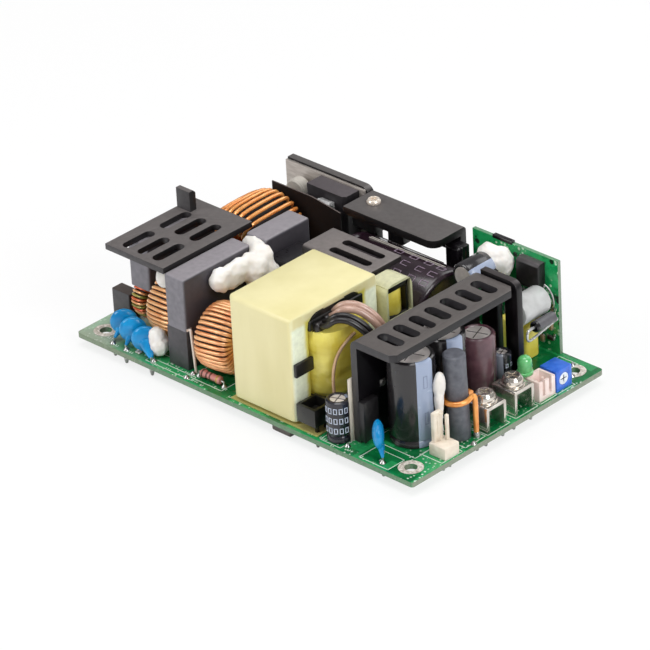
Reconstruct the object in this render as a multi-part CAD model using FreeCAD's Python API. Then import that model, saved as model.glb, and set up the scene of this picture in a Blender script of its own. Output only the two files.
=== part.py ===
import FreeCAD, Part
import math
import os

# Open frame power supply on one circuit board. All sizes are in millimetres.
# Places on the board are measured from its front left corner, x along the long edge and y towards
# the back, and heights from the top face of the board. save() then moves every piece to the frame of
# the part, whose origin is the middle of the four mounting holes on the underside of the board.

# Board and its mounting holes
board_length = 127.0
board_width = 76.2
board_thickness = 1.6
board_corner_radius = 1.0
hole_inset = 5.715
hole_diameter = 3.5

# Clearances between neighbours
seat_gap = 0.1
air_gap = 0.3
running_gap = 0.05

# Solder joints and lead ends under the board
joint_base_radius = 1.0
joint_tip_radius = 0.4
joint_sides = 6
lead_end_drop = 2.7
lead_radius = 0.4

# Diode under the board
underside_diode_size = (6.8, 4.2, 2.7)
underside_diode_place = (78.0, 3.1)

# Input filter capacitors and the risers that lift them
front_capacitor_size = (7.5, 26.6, 16.0)
front_capacitor_place = (36.05, 17.7)
film_capacitor_size = (8.0, 17.3, 16.0)
film_capacitor_place = (37.35, 43.7)
rear_capacitor_size = (7.9, 26.3, 14.4)
rear_capacitor_place = (13.55, 25.85)
rear_capacitor_lift = 13.1
box_edge_radius = 0.9
riser_height = 12.0
riser_wall = 1.2
front_lead_reach = 2.2

# Slotted cover over the input filter
cover_thickness = 1.8
cover_front = 4.5
cover_back = 38.9
cover_slot_size = (3.3, 11.0)
cover_slot_columns = 3
cover_slot_rows = 2
cover_slot_pitch = (5.8, 14.2)
cover_slot_start = (15.2, 12.0)
cover_tab_size = (5.3, 2.4, 6.2)
cover_tab_place = (12.65, 33.1)

# Fuse
fuse_size = (7.0, 4.0, 8.4)
fuse_place = (4.2, 15.5)

# Wound rings: ring radii and width, wire, number of turns, gap between the two halves and how far
# the ring is turned about the vertical
common_mode_ring = {"inner": 4.6, "outer": 8.8, "width": 9.0, "wire": 1.15, "turns": 36, "open": 20.0,
                    "yaw": 0.0}
common_mode_place = (25.25, 17.0)
input_ring = {"inner": 2.9, "outer": 5.5, "width": 2.8, "wire": 0.85, "turns": 18, "open": 24.0, "yaw": 0.0}
input_choke_place = (10.4, 19.9)
line_ring = {"inner": 4.4, "outer": 8.7, "width": 9.6, "wire": 1.2, "turns": 38, "open": 0.0, "yaw": 8.0}
line_choke_place = (48.1, 12.3)
boost_ring = {"inner": 5.2, "outer": 10.4, "width": 17.0, "wire": 1.6, "turns": 30, "open": 0.0, "yaw": 0.0}
boost_choke_place = (20.9, 51.2)
boost_base_size = (18.0, 16.0, 2.8)

# Disc capacitors: place of the disc, its height, its turn about the vertical and the spread of its feet
disc_radius = 4.0
disc_thickness = 3.4
disc_rim = 1.2
disc_leg_radius = 0.75
disc_capacitors = [
    {"place": (12.6, 6.6), "height": 4.9, "turn": 45.0, "feet": [(12.2, 2.8), (15.4, 6.2)]},
    {"place": (17.8, 5.0), "height": 4.9, "turn": 45.0, "feet": [(17.6, 1.9), (20.6, 4.4)]},
    {"place": (23.3, 4.3), "height": 4.3, "turn": 45.0, "feet": [(28.0, 1.6), (25.6, 6.0)]},
    {"place": (110.9, 4.6), "height": 6.8, "turn": 135.0, "feet": [(113.7, 3.1), (110.9, 6.4)]},
]

# Parts with a lead at each end
resistor_radius = 1.15
resistor_length = 7.4
resistor_place = (48.6, 4.4)
resistor_lift = 1.5
resistor_lead_pitch = 9.6
axial_diode_radius = 1.6
axial_diode_length = 8.0
axial_diode_place = (114.0, 67.0)
axial_diode_height = 14.2

# Relay
relay_size = (8.8, 11.2, 23.5)
relay_place = (46.8, 40.6)

# Heat sink at the back: an upright plate, bent over at the right
primary_plate_thickness = 2.4
primary_plate_back = 75.6
primary_plate_left = 12.5
primary_plate_right = 78.5
primary_plate_height = 29.0
primary_corner_radius = 2.6
flange_left = 44.0
flange_front = 62.7
flange_top = 28.0
flange_corner_radius = 3.2
bend_radius = 1.2
window_left = 46.5
window_right = 75.5
window_bottom = 3.0
window_top = 20.0
spreader_thickness = 0.8
spreader_height = 28.4
spreader_length = 30.5

# Bridge rectifier on the heat sink, its spring clip and the thermistor beside it
rectifier_size = (15.6, 6.0, 19.0)
rectifier_left = 25.6
rectifier_lift = 9.0
rectifier_chamfer = 1.0
clip_width = 4.6
clip_thickness = 0.8
clip_centre = 35.2
clip_height = 26.2
clip_reach = 2.6
thermistor_radius = 5.4
thermistor_thickness = 4.0
thermistor_place = (19.4, 69.4)
thermistor_height = 22.6

# Sheets of insulating film
film_thickness = 0.4
tall_film_length = 26.4
tall_film_height = 27.4
tall_film_level_length = 15.5
tall_film_low_height = 21.6
tall_film_place = (30.4, 62.2)
low_film_length = 25.0
low_film_height = 18.2
low_film_place = (63.0, 69.1)
edge_film_length = 15.0
edge_film_height = 18.8
edge_film_reach = 1.0

# Screw through the flange of the rear heat sink
flange_screw_place = (49.4, 69.6)
pan_head_radius = 2.0
pan_head_height = 1.3
pan_recess_width = 0.6
pan_recess_length = 2.4
pan_recess_depth = 0.7

# Power transistors: three-legged packages
package_width = 10.0
package_thickness = 4.4
package_height = 9.0
package_leg_width = 0.9
package_leg_thickness = 0.5
package_leg_pitch = 2.54
hanging_package_size = (5.6, 3.2, 4.8)
hanging_package_place = (60.8, 67.3)

# Heat sink of the switching transistors, with two slots in its flange
switch_sink_left = 52.7
switch_sink_right = 78.3
switch_sink_front = 37.5
switch_sink_back = 49.9
switch_sink_top = 29.6
switch_sink_thickness = 1.7
switch_slot_size = (15.0, 2.6)
switch_slot_centre = 67.8
switch_slot_start = 41.0
switch_slot_pitch = 5.1
switch_package_lift = 18.8
switch_package_places = (60.0, 71.5)

# Electrolytic capacitors: radius and height; the bulk one and the bias one lie down
bulk_capacitor_radius = 12.0
bulk_capacitor_length = 36.0
bulk_capacitor_start = 52.0
bulk_capacitor_place = 56.8
output_capacitor_radius = 6.5
output_capacitor_height = 26.0
output_capacitor_places = [(111.5, 17.5), (109.5, 31.6)]
filter_capacitor_radius = 4.9
filter_capacitor_height = 20.5
filter_capacitor_place = (111.2, 43.7)
small_capacitor_radius = 3.4
small_capacitor_height = 12.6
small_capacitor_place = (96.5, 4.6)
control_capacitor_radius = 2.7
control_capacitor_height = 11.6
control_capacitor_place = (112.6, 51.6)
bias_capacitor_radius = 4.1
bias_capacitor_length = 11.5
bias_capacitor_place = (92.6, 58.6)
bias_capacitor_centre_height = 24.0
can_rim = 0.5
can_groove = 0.45
can_groove_height = 2.2

# Main transformer: taped core with a window, the winding that bulges from it, and the bobbin
core_left = 60.3
core_length = 23.2
core_front = 1.3
core_width = 33.8
core_height = 32.4
core_lift = 1.2
core_leg_width = 6.6
core_yoke_height = 1.6
core_window_radius = 4.0
core_centre_leg_width = 8.0
core_tape_radius = 1.4
winding_bulge_left = 2.4
winding_bulge_right = 6.6
winding_radius = 7.0
winding_margin = 0.4
winding_floor = 6.6
winding_ceiling = 26.2
bobbin_overhang = 0.2
terminal_block_size = (6.8, 7.4, 5.2)
terminal_block_place = (88.0, 4.5)
terminal_block_lift = 2.4
terminal_block_wall = 0.9
terminal_block_pocket = 3.0
terminal_pin_pitch = 3.4
core_clip_thickness = 1.1
core_clip_height = 3.9
core_clip_lift = 15.2
base_film_reach = 7.0

# Standby transformer behind it: taped frame round a coil
standby_size = (8.3, 8.8, 28.5)
standby_place = (83.2, 40.2)
standby_window = (6.4, 9.0)
standby_window_top = 27.2
standby_tape_radius = 1.6
standby_coil_radius = 2.8
standby_flange = 1.0

# Leads that arch from the transformer to the output side: how far each starts to the side of the
# first, how far back, how far it reaches, how high it rises, and its radius
lead_start = (1.6, 17.4)
lead_heading = 38.5
output_leads = [
    {"aside": 0.0, "back": 0.0, "reach": 14.0, "peak": 32.6, "radius": 1.25},
    {"aside": 2.7, "back": 0.0, "reach": 13.6, "peak": 32.4, "radius": 1.25},
    {"aside": 5.2, "back": 1.5, "reach": 13.0, "peak": 30.6, "radius": 1.0},
    {"aside": 7.3, "back": 1.5, "reach": 12.4, "peak": 30.4, "radius": 1.0},
]
lead_bend = 2.2
lead_crown_share = 0.48
lead_crown_drop = 0.8
lead_fall_drop = 5.5

# Thin lead beside the winding: where it starts along y and z, its knee, and where it comes down
sense_lead_radius = 0.5
sense_lead_start = (18.5, 24.0)
sense_lead_knee = (11.6, 18.6)
sense_lead_foot = 9.8
sense_lead_straight = 9.0
sense_lead_offset = 0.6
sense_lead_bend = 3.0

# Output heat sink: upright plate and slotted flange
output_sink_left = 100.4
output_sink_thickness = 2.2
output_sink_front = 6.4
output_sink_back = 54.0
output_sink_top = 31.0
output_flange_right = 116.0
output_flange_corner = 1.6
output_slot_size = (8.6, 3.5)
output_slot_count = 7
output_slot_start = 12.9
output_slot_pitch = 6.05
output_slot_centre = 109.1
output_package_centre = 8.7
output_package_lift = 1.0
output_package_size = (2.2, 5.8, 12.0)
rivet_radius = 0.9
rivet_height = 0.5
rivet_place = (15.6, 14.6)

# Heat sink at the right, a plate on two legs with a rounded corner
end_sink_front = 54.6
end_sink_thickness = 2.2
end_sink_left = 102.9
end_sink_right = 116.0
end_sink_height = 32.0
end_sink_left_leg = 5.7
end_sink_leg = 4.6
end_sink_bar = 6.0
end_sink_radius = 2.6

# Taped bias transformer and boost diode near the back edge
bias_transformer_size = (10.0, 5.4, 11.2)
bias_transformer_place = (103.6, 68.4)
bias_transformer_radius = 1.0
boost_diode_size = (6.2, 3.9, 21.5)
boost_diode_left = 75.6
boost_diode_lift = 3.0

# Rod choke with one turn of thick wire
rod_radius = 3.1
rod_height = 24.8
rod_place = (120.0, 25.8)
rod_chamfer = 0.4
rod_wire_radius = 0.9
rod_turn_height = 11.2
rod_leg_offset = (4.1, 2.5)

# Output header with a locking tab
header_size = (5.8, 5.6, 3.6)
header_place = (123.4, 16.4)
header_tab_size = (1.1, 5.0, 8.6)
header_pin_pitch = 2.5
header_pin_size = 0.64
header_pin_height = 6.4

# Screw terminals
terminal_length = 8.4
terminal_width = 7.7
terminal_height = 7.4
terminal_sheet = 1.0
terminal_right = 125.5
terminal_centres = (34.9, 46.0)
terminal_bend_radius = 0.8
terminal_head_radius = 2.9
terminal_head_height = 1.9
terminal_washer_radius = 3.4
terminal_washer_height = 0.6
terminal_shank_radius = 1.7
terminal_shank_length = 4.6
terminal_recess_width = 0.8
terminal_recess_length = 3.8
terminal_recess_depth = 1.0

# Fan connector
fan_connector_size = (5.8, 6.4, 6.0)
fan_connector_right = 125.6
fan_connector_centre = 55.0
fan_wall = 0.7
fan_floor = 1.4
fan_slot_width = 1.0

# Trimmer: body, and the rotor that turns in it
trimmer_size = (6.0, 6.2, 6.4)
trimmer_right = 125.7
trimmer_centre = 61.7
rotor_radius = 1.75
rotor_depth = 1.7
rotor_inset = 0.15
rotor_slot_width = 0.5
rotor_slot_length = 2.4
rotor_slot_depth = 0.7

# Light emitting diode
led_radius = 2.0
led_flange_radius = 2.3
led_flange_height = 0.9
led_height = 5.7
led_lift = 6.3
led_leg_radius = 0.3
led_leg_pitch = 2.54
led_place = (119.3, 53.2)

# Upright control board and what is soldered to it
control_left = 81.6
control_length = 31.0
control_height = 28.8
control_thickness = 1.2
control_front = 74.8
control_block_size = (8.0, 3.0, 8.6)
control_block_place = (104.0, 18.6)
snubber_radius = 4.1
snubber_length = 10.6
snubber_place = (109.0, 17.7)
snubber_gap = 3.2

# Dabs of silicone: a dome by the disc capacitors, a mass beside, behind and over the front
# capacitor, and dabs under the cover, behind the bias capacitor and beside the rod choke.
# A reach is measured from the part that the dab leans on.
silicone_dome_radius = 3.1
silicone_dome_height = 8.4
silicone_dome_place = (27.8, 4.8)
side_dab = {"reach": 4.6, "front": 13.0, "back_reach": 3.4, "floor": 20.4}
bulge_dab = {"start": 1.0, "reach": 8.4, "front": 25.6, "back_reach": 3.8, "floor": 15.0}
top_dab = {"left": 33.4, "reach": 5.0, "floor": 18.0, "rise": 1.6}
cover_dab = {"x": (26.2, 32.2), "y": (5.4, 11.6), "z": (20.6, 27.4)}
bias_dab = {"left": 3.6, "right": 4.4, "floor": 19.2, "top": 28.6}
output_dab = {"x": (118.0, 120.2), "y": (18.6, 20.7), "z": (0, 18.4)}
bias_lead_pitch = 3.2


def point(x, y, z=0.0):
    return FreeCAD.Vector(x, y, z)


along_x = point(1, 0, 0)
along_y = point(0, 1, 0)
upwards = point(0, 0, 1)
feet = []


def save(name, *solids):
    """Write one node: its solids, moved from board places to the frame of the part."""
    shape = solids[0] if len(solids) == 1 else Part.makeCompound(list(solids))
    shape.translate(point(-board_length / 2, -board_width / 2, board_thickness))
    shape.exportStep("parts/" + name + ".step")


def block(place, size, foot=0.0):
    """A box of length, width and height centred on a place, with its underside at a height."""
    length, width, height = size
    return Part.makeBox(length, width, height, point(place[0] - length / 2, place[1] - width / 2, foot))


def slab(x_range, y_range, z_range):
    """A box between two values on each axis."""
    corner = point(x_range[0], y_range[0], z_range[0])
    return Part.makeBox(x_range[1] - x_range[0], y_range[1] - y_range[0], z_range[1] - z_range[0], corner)


def cylinder(start, direction, radius, length):
    return Part.makeCylinder(radius, length, start, direction)


def edges_along(solid, direction, wanted=lambda middle: True):
    """The straight edges of a solid that run along a direction, and whose middle is wanted."""
    found = []
    for edge in solid.Edges:
        if isinstance(edge.Curve, Part.Line):
            if abs(abs(edge.Curve.Direction.dot(direction)) - 1) < 1e-6 and wanted(edge.CenterOfMass):
                found.append(edge)
    return found


def prism(outline, direction, depth):
    """A closed outline of points, pushed along a direction."""
    wire = Part.makePolygon(outline + [outline[0]])
    return Part.Face(wire).extrude(direction * depth)


def turned(profile, start, direction):
    """A profile of (radius, height) pairs turned round an axis through a start point."""
    points = [point(radius, 0, height) for radius, height in profile]
    solid = Part.Face(Part.makePolygon(points + [points[0]])).revolve(point(0, 0), upwards, 360)
    solid.Placement = FreeCAD.Placement(start, FreeCAD.Rotation(upwards, direction))
    return solid


def tube(route, radius, bend):
    """A round wire along straight runs that tangent arcs join."""
    edges = []
    last = route[0]
    for before, corner, after in zip(route, route[1:], route[2:]):
        inward = (corner - before).normalize()
        outward = (after - corner).normalize()
        half_turn = inward.getAngle(outward) / 2
        tangent = bend * math.tan(half_turn)
        start = corner - inward * tangent
        end = corner + outward * tangent
        middle = corner + (outward - inward).normalize() * (bend / math.cos(half_turn) - bend)
        edges.append(Part.makeLine(last, start))
        edges.append(Part.Arc(start, middle, end).toShape())
        last = end
    edges.append(Part.makeLine(last, route[-1]))
    section = Part.Wire(Part.makeCircle(radius, route[0], route[1] - route[0]))
    return Part.Wire(edges).makePipeShell([section], True, False)


def slot(centre, size, direction, depth):
    """A round-ended slot: size is its extent along x and along y, cut from a centre along z."""
    length, width = size
    radius = min(length, width) / 2
    reach_x = length / 2 - radius
    reach_y = width / 2 - radius
    ends = [centre + point(sign * reach_x, sign * reach_y) for sign in (-1, 1)]
    middle = block((centre.x, centre.y), (max(2 * reach_x, 2 * radius * (reach_y > 0)),
                                          max(2 * reach_y, 2 * radius * (reach_x > 0)), depth), centre.z)
    return middle.fuse([cylinder(end, direction, radius, depth) for end in ends])


def cross_recess(start, direction, width, length, depth):
    """The cross cut in a screw head or a rotor, sunk from a start point against a direction."""
    arms = []
    for long_side, short_side in ((length, width), (width, length)):
        arm = Part.makeBox(long_side, short_side, depth, point(-long_side / 2, -short_side / 2, -depth))
        arms.append(arm)
    cross = arms[0].fuse(arms[1])
    cross.Placement = FreeCAD.Placement(start, FreeCAD.Rotation(upwards, direction))
    return cross


def foot(x, y):
    """Note a place where a lead goes through the board and is soldered."""
    feet.append((x, y))


def circuit_board():
    board = slab((0, board_length), (0, board_width), (-board_thickness, 0))
    board = board.makeFillet(board_corner_radius, edges_along(board, upwards))
    for x in (hole_inset, board_length - hole_inset):
        for y in (hole_inset, board_width - hole_inset):
            hole = cylinder(point(x, y, -board_thickness), upwards, hole_diameter / 2, board_thickness)
            board = board.cut(hole)
    save("circuit_board", board)


def ring_of_points(x, y, z, radius):
    angles = [2 * math.pi * step / joint_sides for step in range(joint_sides)]
    return [point(x + radius * math.cos(angle), y + radius * math.sin(angle), z) for angle in angles]


def solder_joints():
    """One tapered joint with its lead end for each foot, hanging under the board."""
    joints = []
    for x, y in feet:
        base = ring_of_points(x, y, -board_thickness, joint_base_radius)
        tip = ring_of_points(x, y, -board_thickness - lead_end_drop, joint_tip_radius)
        outlines = [base, tip]
        for side in range(joint_sides):
            following = (side + 1) % joint_sides
            outlines.append([base[side], base[following], tip[following], tip[side]])
        faces = [Part.Face(Part.makePolygon(outline + [outline[0]])) for outline in outlines]
        joints.append(Part.makeSolid(Part.makeShell(faces)))
    save("solder_joints", *joints)


def underside_diode():
    length, width, height = underside_diode_size
    body = block(underside_diode_place, underside_diode_size, -board_thickness - height)
    body = body.makeChamfer(height / 4, [edge for edge in body.Edges
                                         if edge.CenterOfMass.z < -board_thickness - height + 0.01])
    save("underside_diode", body)


def box_capacitor(name, place, size, lift):
    """A moulded box capacitor with rounded edges, all but those of its open underside."""
    body = block(place, size, lift)
    edges = [edge for edge in body.Edges if edge.CenterOfMass.z > lift + 0.01]
    body = body.makeFillet(box_edge_radius, edges)
    return name, body


def front_capacitor():
    """The front capacitor on its riser, with the lead that slants down to the board."""
    length, width, height = front_capacitor_size
    x, y = front_capacitor_place
    name, body = box_capacitor("x_capacitor_front", front_capacitor_place, front_capacitor_size, riser_height)
    front = y - width / 2
    start = point(x + length / 2 + lead_radius + seat_gap, front + 1.2, riser_height + 0.5)
    end = point(x + length / 2 + front_lead_reach, front + 0.6, 0)
    root = point(x + length / 2 - box_edge_radius, front + 1.2, riser_height + 0.5)
    lead = tube([root, start, end], lead_radius, lead_radius * 1.2)
    lead = lead.cut(slab((end.x - 2, end.x + 2), (end.y - 2, end.y + 2), (-2, 0)))
    foot(end.x, end.y)
    foot(x, y + width / 2 - 2)
    save(name, body.fuse(lead))


def rear_capacitor():
    """The rear capacitor, held up on its two leads."""
    length, width, height = rear_capacitor_size
    x, y = rear_capacitor_place
    name, body = box_capacitor("x_capacitor_rear", rear_capacitor_place, rear_capacitor_size,
                               rear_capacitor_lift)
    lead_x = x + length / 2 - lead_radius - 0.6
    for lead_y in (y - width / 2 + 2.2, y + width / 2 - 2.2):
        body = body.fuse(cylinder(point(lead_x, lead_y), upwards, lead_radius, rear_capacitor_lift + 1))
        foot(lead_x, lead_y)
    save(name, body)


def film_capacitor():
    name, body = box_capacitor("film_capacitor", film_capacitor_place, film_capacitor_size, riser_height)
    for side in (-1, 1):
        foot(film_capacitor_place[0], film_capacitor_place[1] + side * (film_capacitor_size[1] / 2 - 1.5))
    save(name, body)


def capacitor_risers():
    """Plastic risers, open underneath, that lift the two capacitors on the board."""
    risers = []
    for place, size in ((front_capacitor_place, front_capacitor_size),
                        (film_capacitor_place, film_capacitor_size)):
        length, width, _ = size
        outer = block(place, (length, width, riser_height))
        inner = block(place, (length - 2 * riser_wall, width - 2 * riser_wall, riser_height - riser_wall))
        risers.append(outer.cut(inner))
    save("capacitor_risers", *risers)


def slotted_cover():
    """The cover plate between the two input capacitors, with its slots and its upright tab."""
    left = rear_capacitor_place[0] - rear_capacitor_size[0] / 2
    right = front_capacitor_place[0] - front_capacitor_size[0] / 2
    underside = rear_capacitor_lift + rear_capacitor_size[2]
    plate = slab((left, right), (cover_front, cover_back), (underside, underside + cover_thickness))
    for column in range(cover_slot_columns):
        for row in range(cover_slot_rows):
            centre = point(cover_slot_start[0] + column * cover_slot_pitch[0],
                           cover_slot_start[1] + row * cover_slot_pitch[1], underside)
            plate = plate.cut(slot(centre, cover_slot_size, upwards, cover_thickness))
    tab = block(cover_tab_place, cover_tab_size, underside + cover_thickness)
    tab_back = cover_tab_place[1] + cover_tab_size[1] / 2
    tab = tab.makeChamfer(cover_tab_size[1] / 3, edges_along(tab, along_x, lambda middle:
                          middle.z > underside + cover_thickness + 1 and middle.y > tab_back - 0.01))
    save("slotted_cover", plate.fuse(tab).removeSplitter())


def fuse_box():
    body = block(fuse_place, fuse_size)
    body = body.makeFillet(0.4, edges_along(body, upwards))
    for side in (-1, 1):
        foot(fuse_place[0] + side * fuse_size[0] / 4, fuse_place[1])
    save("fuse", body)


def ring_turn(ring):
    """One turn of wire round a ring in the x-z plane, as a wedge-shaped link with eight sides."""
    wire = ring["wire"]
    inner, outer, half = ring["inner"] - wire, ring["outer"] + wire, ring["width"] / 2 + wire
    cut = wire * 0.7
    outline = [(inner + cut, -half), (outer - cut, -half), (outer, cut - half), (outer, half - cut),
               (outer - cut, half), (inner + cut, half), (inner, half - cut), (inner, cut - half)]
    step = (360 - 2 * ring["open"]) / ring["turns"]
    angle = math.radians(step * 0.36)
    reach = 2 * outer * math.tan(angle)
    link = prism([point(radius, -reach / 2, height) for radius, height in outline], along_y, reach)
    clearance = running_gap
    hollow = slab((ring["inner"] - clearance, ring["outer"] + clearance), (-reach, reach),
                  (clearance * -1 - ring["width"] / 2, ring["width"] / 2 + clearance))
    wedge = prism([point(0, 0, -half), point(2 * outer, -2 * outer * math.tan(angle), -half),
                   point(2 * outer, 2 * outer * math.tan(angle), -half)], upwards, 2 * half)
    return link.cut(hollow).common(wedge), step


def wound_ring(core_name, winding_name, ring, place, axis, lift):
    """A ring core on edge with its turns of wire; the ring axis lies level, along x or along y."""
    centre = point(place[0], place[1], lift + ring["outer"] + ring["wire"])
    turn_about = FreeCAD.Rotation(upwards, ring["yaw"])
    stand = FreeCAD.Placement(centre, turn_about.multiply(FreeCAD.Rotation(upwards, axis)))
    core = cylinder(point(0, 0, -ring["width"] / 2), upwards, ring["outer"], ring["width"])
    core = core.cut(cylinder(point(0, 0, -ring["width"] / 2), upwards, ring["inner"], ring["width"]))
    core.Placement = stand
    link, step = ring_turn(ring)
    top_angle = 90.0 if axis == along_y else 0.0
    turns = []
    for number in range(ring["turns"]):
        half = number // ((ring["turns"] + 1) // 2) if ring["open"] else 0
        angle = top_angle + ring["open"] / 2 + (number + 0.5) * step + half * ring["open"]
        turn = link.copy()
        turn.rotate(point(0, 0), upwards, angle)
        turn.Placement = stand.multiply(turn.Placement)
        turns.append(turn)
    save(core_name, core)
    save(winding_name, *turns)


def chokes():
    wound_ring("common_mode_core", "common_mode_windings", common_mode_ring, common_mode_place, along_x,
               air_gap)
    wound_ring("input_choke_core", "input_choke_winding", input_ring, input_choke_place, along_x, seat_gap)
    wound_ring("line_choke_core", "line_choke_winding", line_ring, line_choke_place, along_x, air_gap)
    wound_ring("boost_choke_core", "boost_choke_winding", boost_ring, boost_choke_place, along_y,
               boost_base_size[2] + seat_gap)
    base = block(boost_choke_place, boost_base_size)
    save("boost_choke_base", base.makeFillet(1.0, edges_along(base, upwards)))
    for place in (common_mode_place, line_choke_place, boost_choke_place):
        for side in (-1, 1):
            foot(place[0] + side * 3.5, place[1] - side * 4.0)


def disc_capacitor(data):
    """A dipped disc on two coated legs that end at the board."""
    x, y = data["place"]
    facing = FreeCAD.Rotation(upwards, data["turn"] - 90).multVec(along_x)
    half = disc_thickness / 2
    flat_radius = disc_radius - disc_rim
    profile = [(0, -half), (flat_radius, -half), (disc_radius, 0), (flat_radius, half), (0, half)]
    centre = point(x, y, data["height"])
    disc = turned(profile, centre, facing)
    for foot_x, foot_y in data["feet"]:
        end = point(foot_x, foot_y)
        root = centre + (end - centre) * 0.45
        leg = Part.makeCone(disc_leg_radius, lead_radius, (end - root).Length, root, end - root)
        below = slab((foot_x - 3, foot_x + 3), (foot_y - 3, foot_y + 3), (-3, 0))
        disc = disc.fuse(leg.cut(below))
    return disc


def save_disc_capacitors():
    for data in disc_capacitors:
        for foot_x, foot_y in data["feet"]:
            foot(foot_x, foot_y)
    save("disc_capacitors", *[disc_capacitor(data) for data in disc_capacitors])


def axial_part(middle, direction, radius, length, pitch):
    """A round body with a lead at each end that bends down to the board."""
    body = cylinder(middle - direction * (length / 2), direction, radius, length)
    for side in (-1, 1):
        root = middle + direction * (side * (length / 2 - 0.4))
        corner = middle + direction * (side * pitch / 2)
        end = point(corner.x, corner.y)
        body = body.fuse(tube([root, corner, end], lead_radius * 0.7, lead_radius))
        foot(end.x, end.y)
    return body


def axial_parts():
    resistor = axial_part(point(resistor_place[0], resistor_place[1], resistor_lift), along_x,
                          resistor_radius, resistor_length, resistor_lead_pitch)
    x, y = axial_diode_place
    middle = point(x, y, axial_diode_height)
    front = middle - along_y * (axial_diode_length / 2)
    body = cylinder(front, along_y, axial_diode_radius, axial_diode_length)
    lead_front = front + along_y * 0.4
    low = point(x, lead_front.y - 1.6, axial_diode_height - 3.2)
    route = [lead_front, lead_front - along_y * 2.0, low, point(x - 2.0, control_front, low.z)]
    body = body.fuse(tube(route, lead_radius * 0.7, 0.6))
    rear = middle + along_y * (axial_diode_length / 2 - 0.4)
    body = body.fuse(cylinder(rear, along_y, lead_radius * 0.7, control_front - rear.y))
    save("axial_parts", resistor, body)


def relay():
    body = block(relay_place, relay_size)
    edges = [edge for edge in body.Edges if edge.CenterOfMass.z > 0.01]
    for side in (-1, 1):
        foot(relay_place[0], relay_place[1] + side * relay_size[1] / 3)
    save("relay", body.makeFillet(0.6, edges))


def primary_heat_sink():
    """The bent plate at the back: tall at the left, a flange over a window at the right."""
    front = primary_plate_back - primary_plate_thickness
    left_part = slab((primary_plate_left, flange_left), (front, primary_plate_back),
                     (0, primary_plate_height))
    left_part = left_part.makeFillet(primary_corner_radius, edges_along(
        left_part, along_y, lambda middle: middle.x > flange_left - 0.1 and middle.z > 1))
    upright = slab((flange_left, primary_plate_right), (front, primary_plate_back), (0, flange_top))
    flange = slab((flange_left, primary_plate_right), (flange_front, primary_plate_back),
                  (flange_top - primary_plate_thickness, flange_top))
    flange = flange.makeFillet(flange_corner_radius, edges_along(
        flange, upwards, lambda middle: middle.x > flange_left + 1 and middle.y < flange_front + 1))
    bent = upright.fuse(flange).removeSplitter()
    bent = bent.makeFillet(bend_radius, edges_along(
        bent, along_x, lambda middle: middle.z > flange_top - 0.1 and middle.y > primary_plate_back - 0.1))
    window = slab((window_left, window_right), (front, primary_plate_back), (window_bottom, window_top))
    hole = cylinder(point(flange_screw_place[0], flange_screw_place[1], flange_top - primary_plate_thickness),
                    upwards, pan_head_radius * 0.6, primary_plate_thickness)
    foot(primary_plate_left + 4, front + primary_plate_thickness / 2)
    foot(primary_plate_right - 1.5, front + primary_plate_thickness / 2)
    save("primary_heat_sink", left_part.fuse(bent).cut(window).cut(hole).removeSplitter())


def rectifier_group():
    """The bridge rectifier on its heat spreader, the spring clip that presses it and the thermistor."""
    plate_front = primary_plate_back - primary_plate_thickness
    spreader = slab((primary_plate_left, primary_plate_left + spreader_length),
                    (plate_front - spreader_thickness, plate_front), (0, spreader_height))
    save("heat_spreader", spreader)
    length, width, height = rectifier_size
    rear = plate_front - spreader_thickness
    body = slab((rectifier_left, rectifier_left + length), (rear - width, rear),
                (rectifier_lift, rectifier_lift + height))
    body = body.makeChamfer(rectifier_chamfer, edges_along(
        body, upwards, lambda middle: middle.y < rear - 1) + edges_along(
        body, along_y, lambda middle: middle.z > rectifier_lift + 1 and middle.x < rectifier_left + 1))
    for number in range(4):
        leg_x = rectifier_left + length * (number + 0.5) / 4
        leg_y = rear - width / 2
        leg = slab((leg_x - 0.6, leg_x + 0.6), (leg_y - 0.4, leg_y + 0.4), (0, rectifier_lift))
        body = body.fuse(leg)
        foot(leg_x, leg_y)
    save("bridge_rectifier", body)
    face = rear - width
    outer = face - clip_reach
    touch = face - seat_gap
    top = clip_height
    outline = [point(0, outer, 0), point(0, outer - clip_thickness, 0),
               point(0, outer - clip_thickness, top - 1.0), point(0, outer + 0.4, top),
               point(0, touch - 0.3, top - 0.6), point(0, touch, top - 4.0),
               point(0, touch - clip_thickness, top - 4.0), point(0, touch - clip_thickness - 0.2, top - 1.6),
               point(0, outer + 0.5, top - 1.0), point(0, outer, top - 1.8)]
    clip = prism([place + along_x * (clip_centre - clip_width / 2) for place in outline], along_x, clip_width)
    foot(clip_centre, face - clip_reach - clip_thickness / 2)
    save("rectifier_clip", clip)
    x, y = thermistor_place
    centre = point(x, y - thermistor_thickness / 2, thermistor_height)
    rim = 0.8
    profile = [(0, 0), (thermistor_radius - rim, 0), (thermistor_radius, rim),
               (thermistor_radius, thermistor_thickness - rim), (thermistor_radius - rim, thermistor_thickness),
               (0, thermistor_thickness)]
    disc = turned(profile, centre, along_y)
    for side in (-1, 1):
        leg_x = x + side * thermistor_radius * 0.6
        disc = disc.fuse(cylinder(point(leg_x, y), upwards, lead_radius, thermistor_height))
        foot(leg_x, y)
    save("inrush_thermistor", disc)


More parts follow.
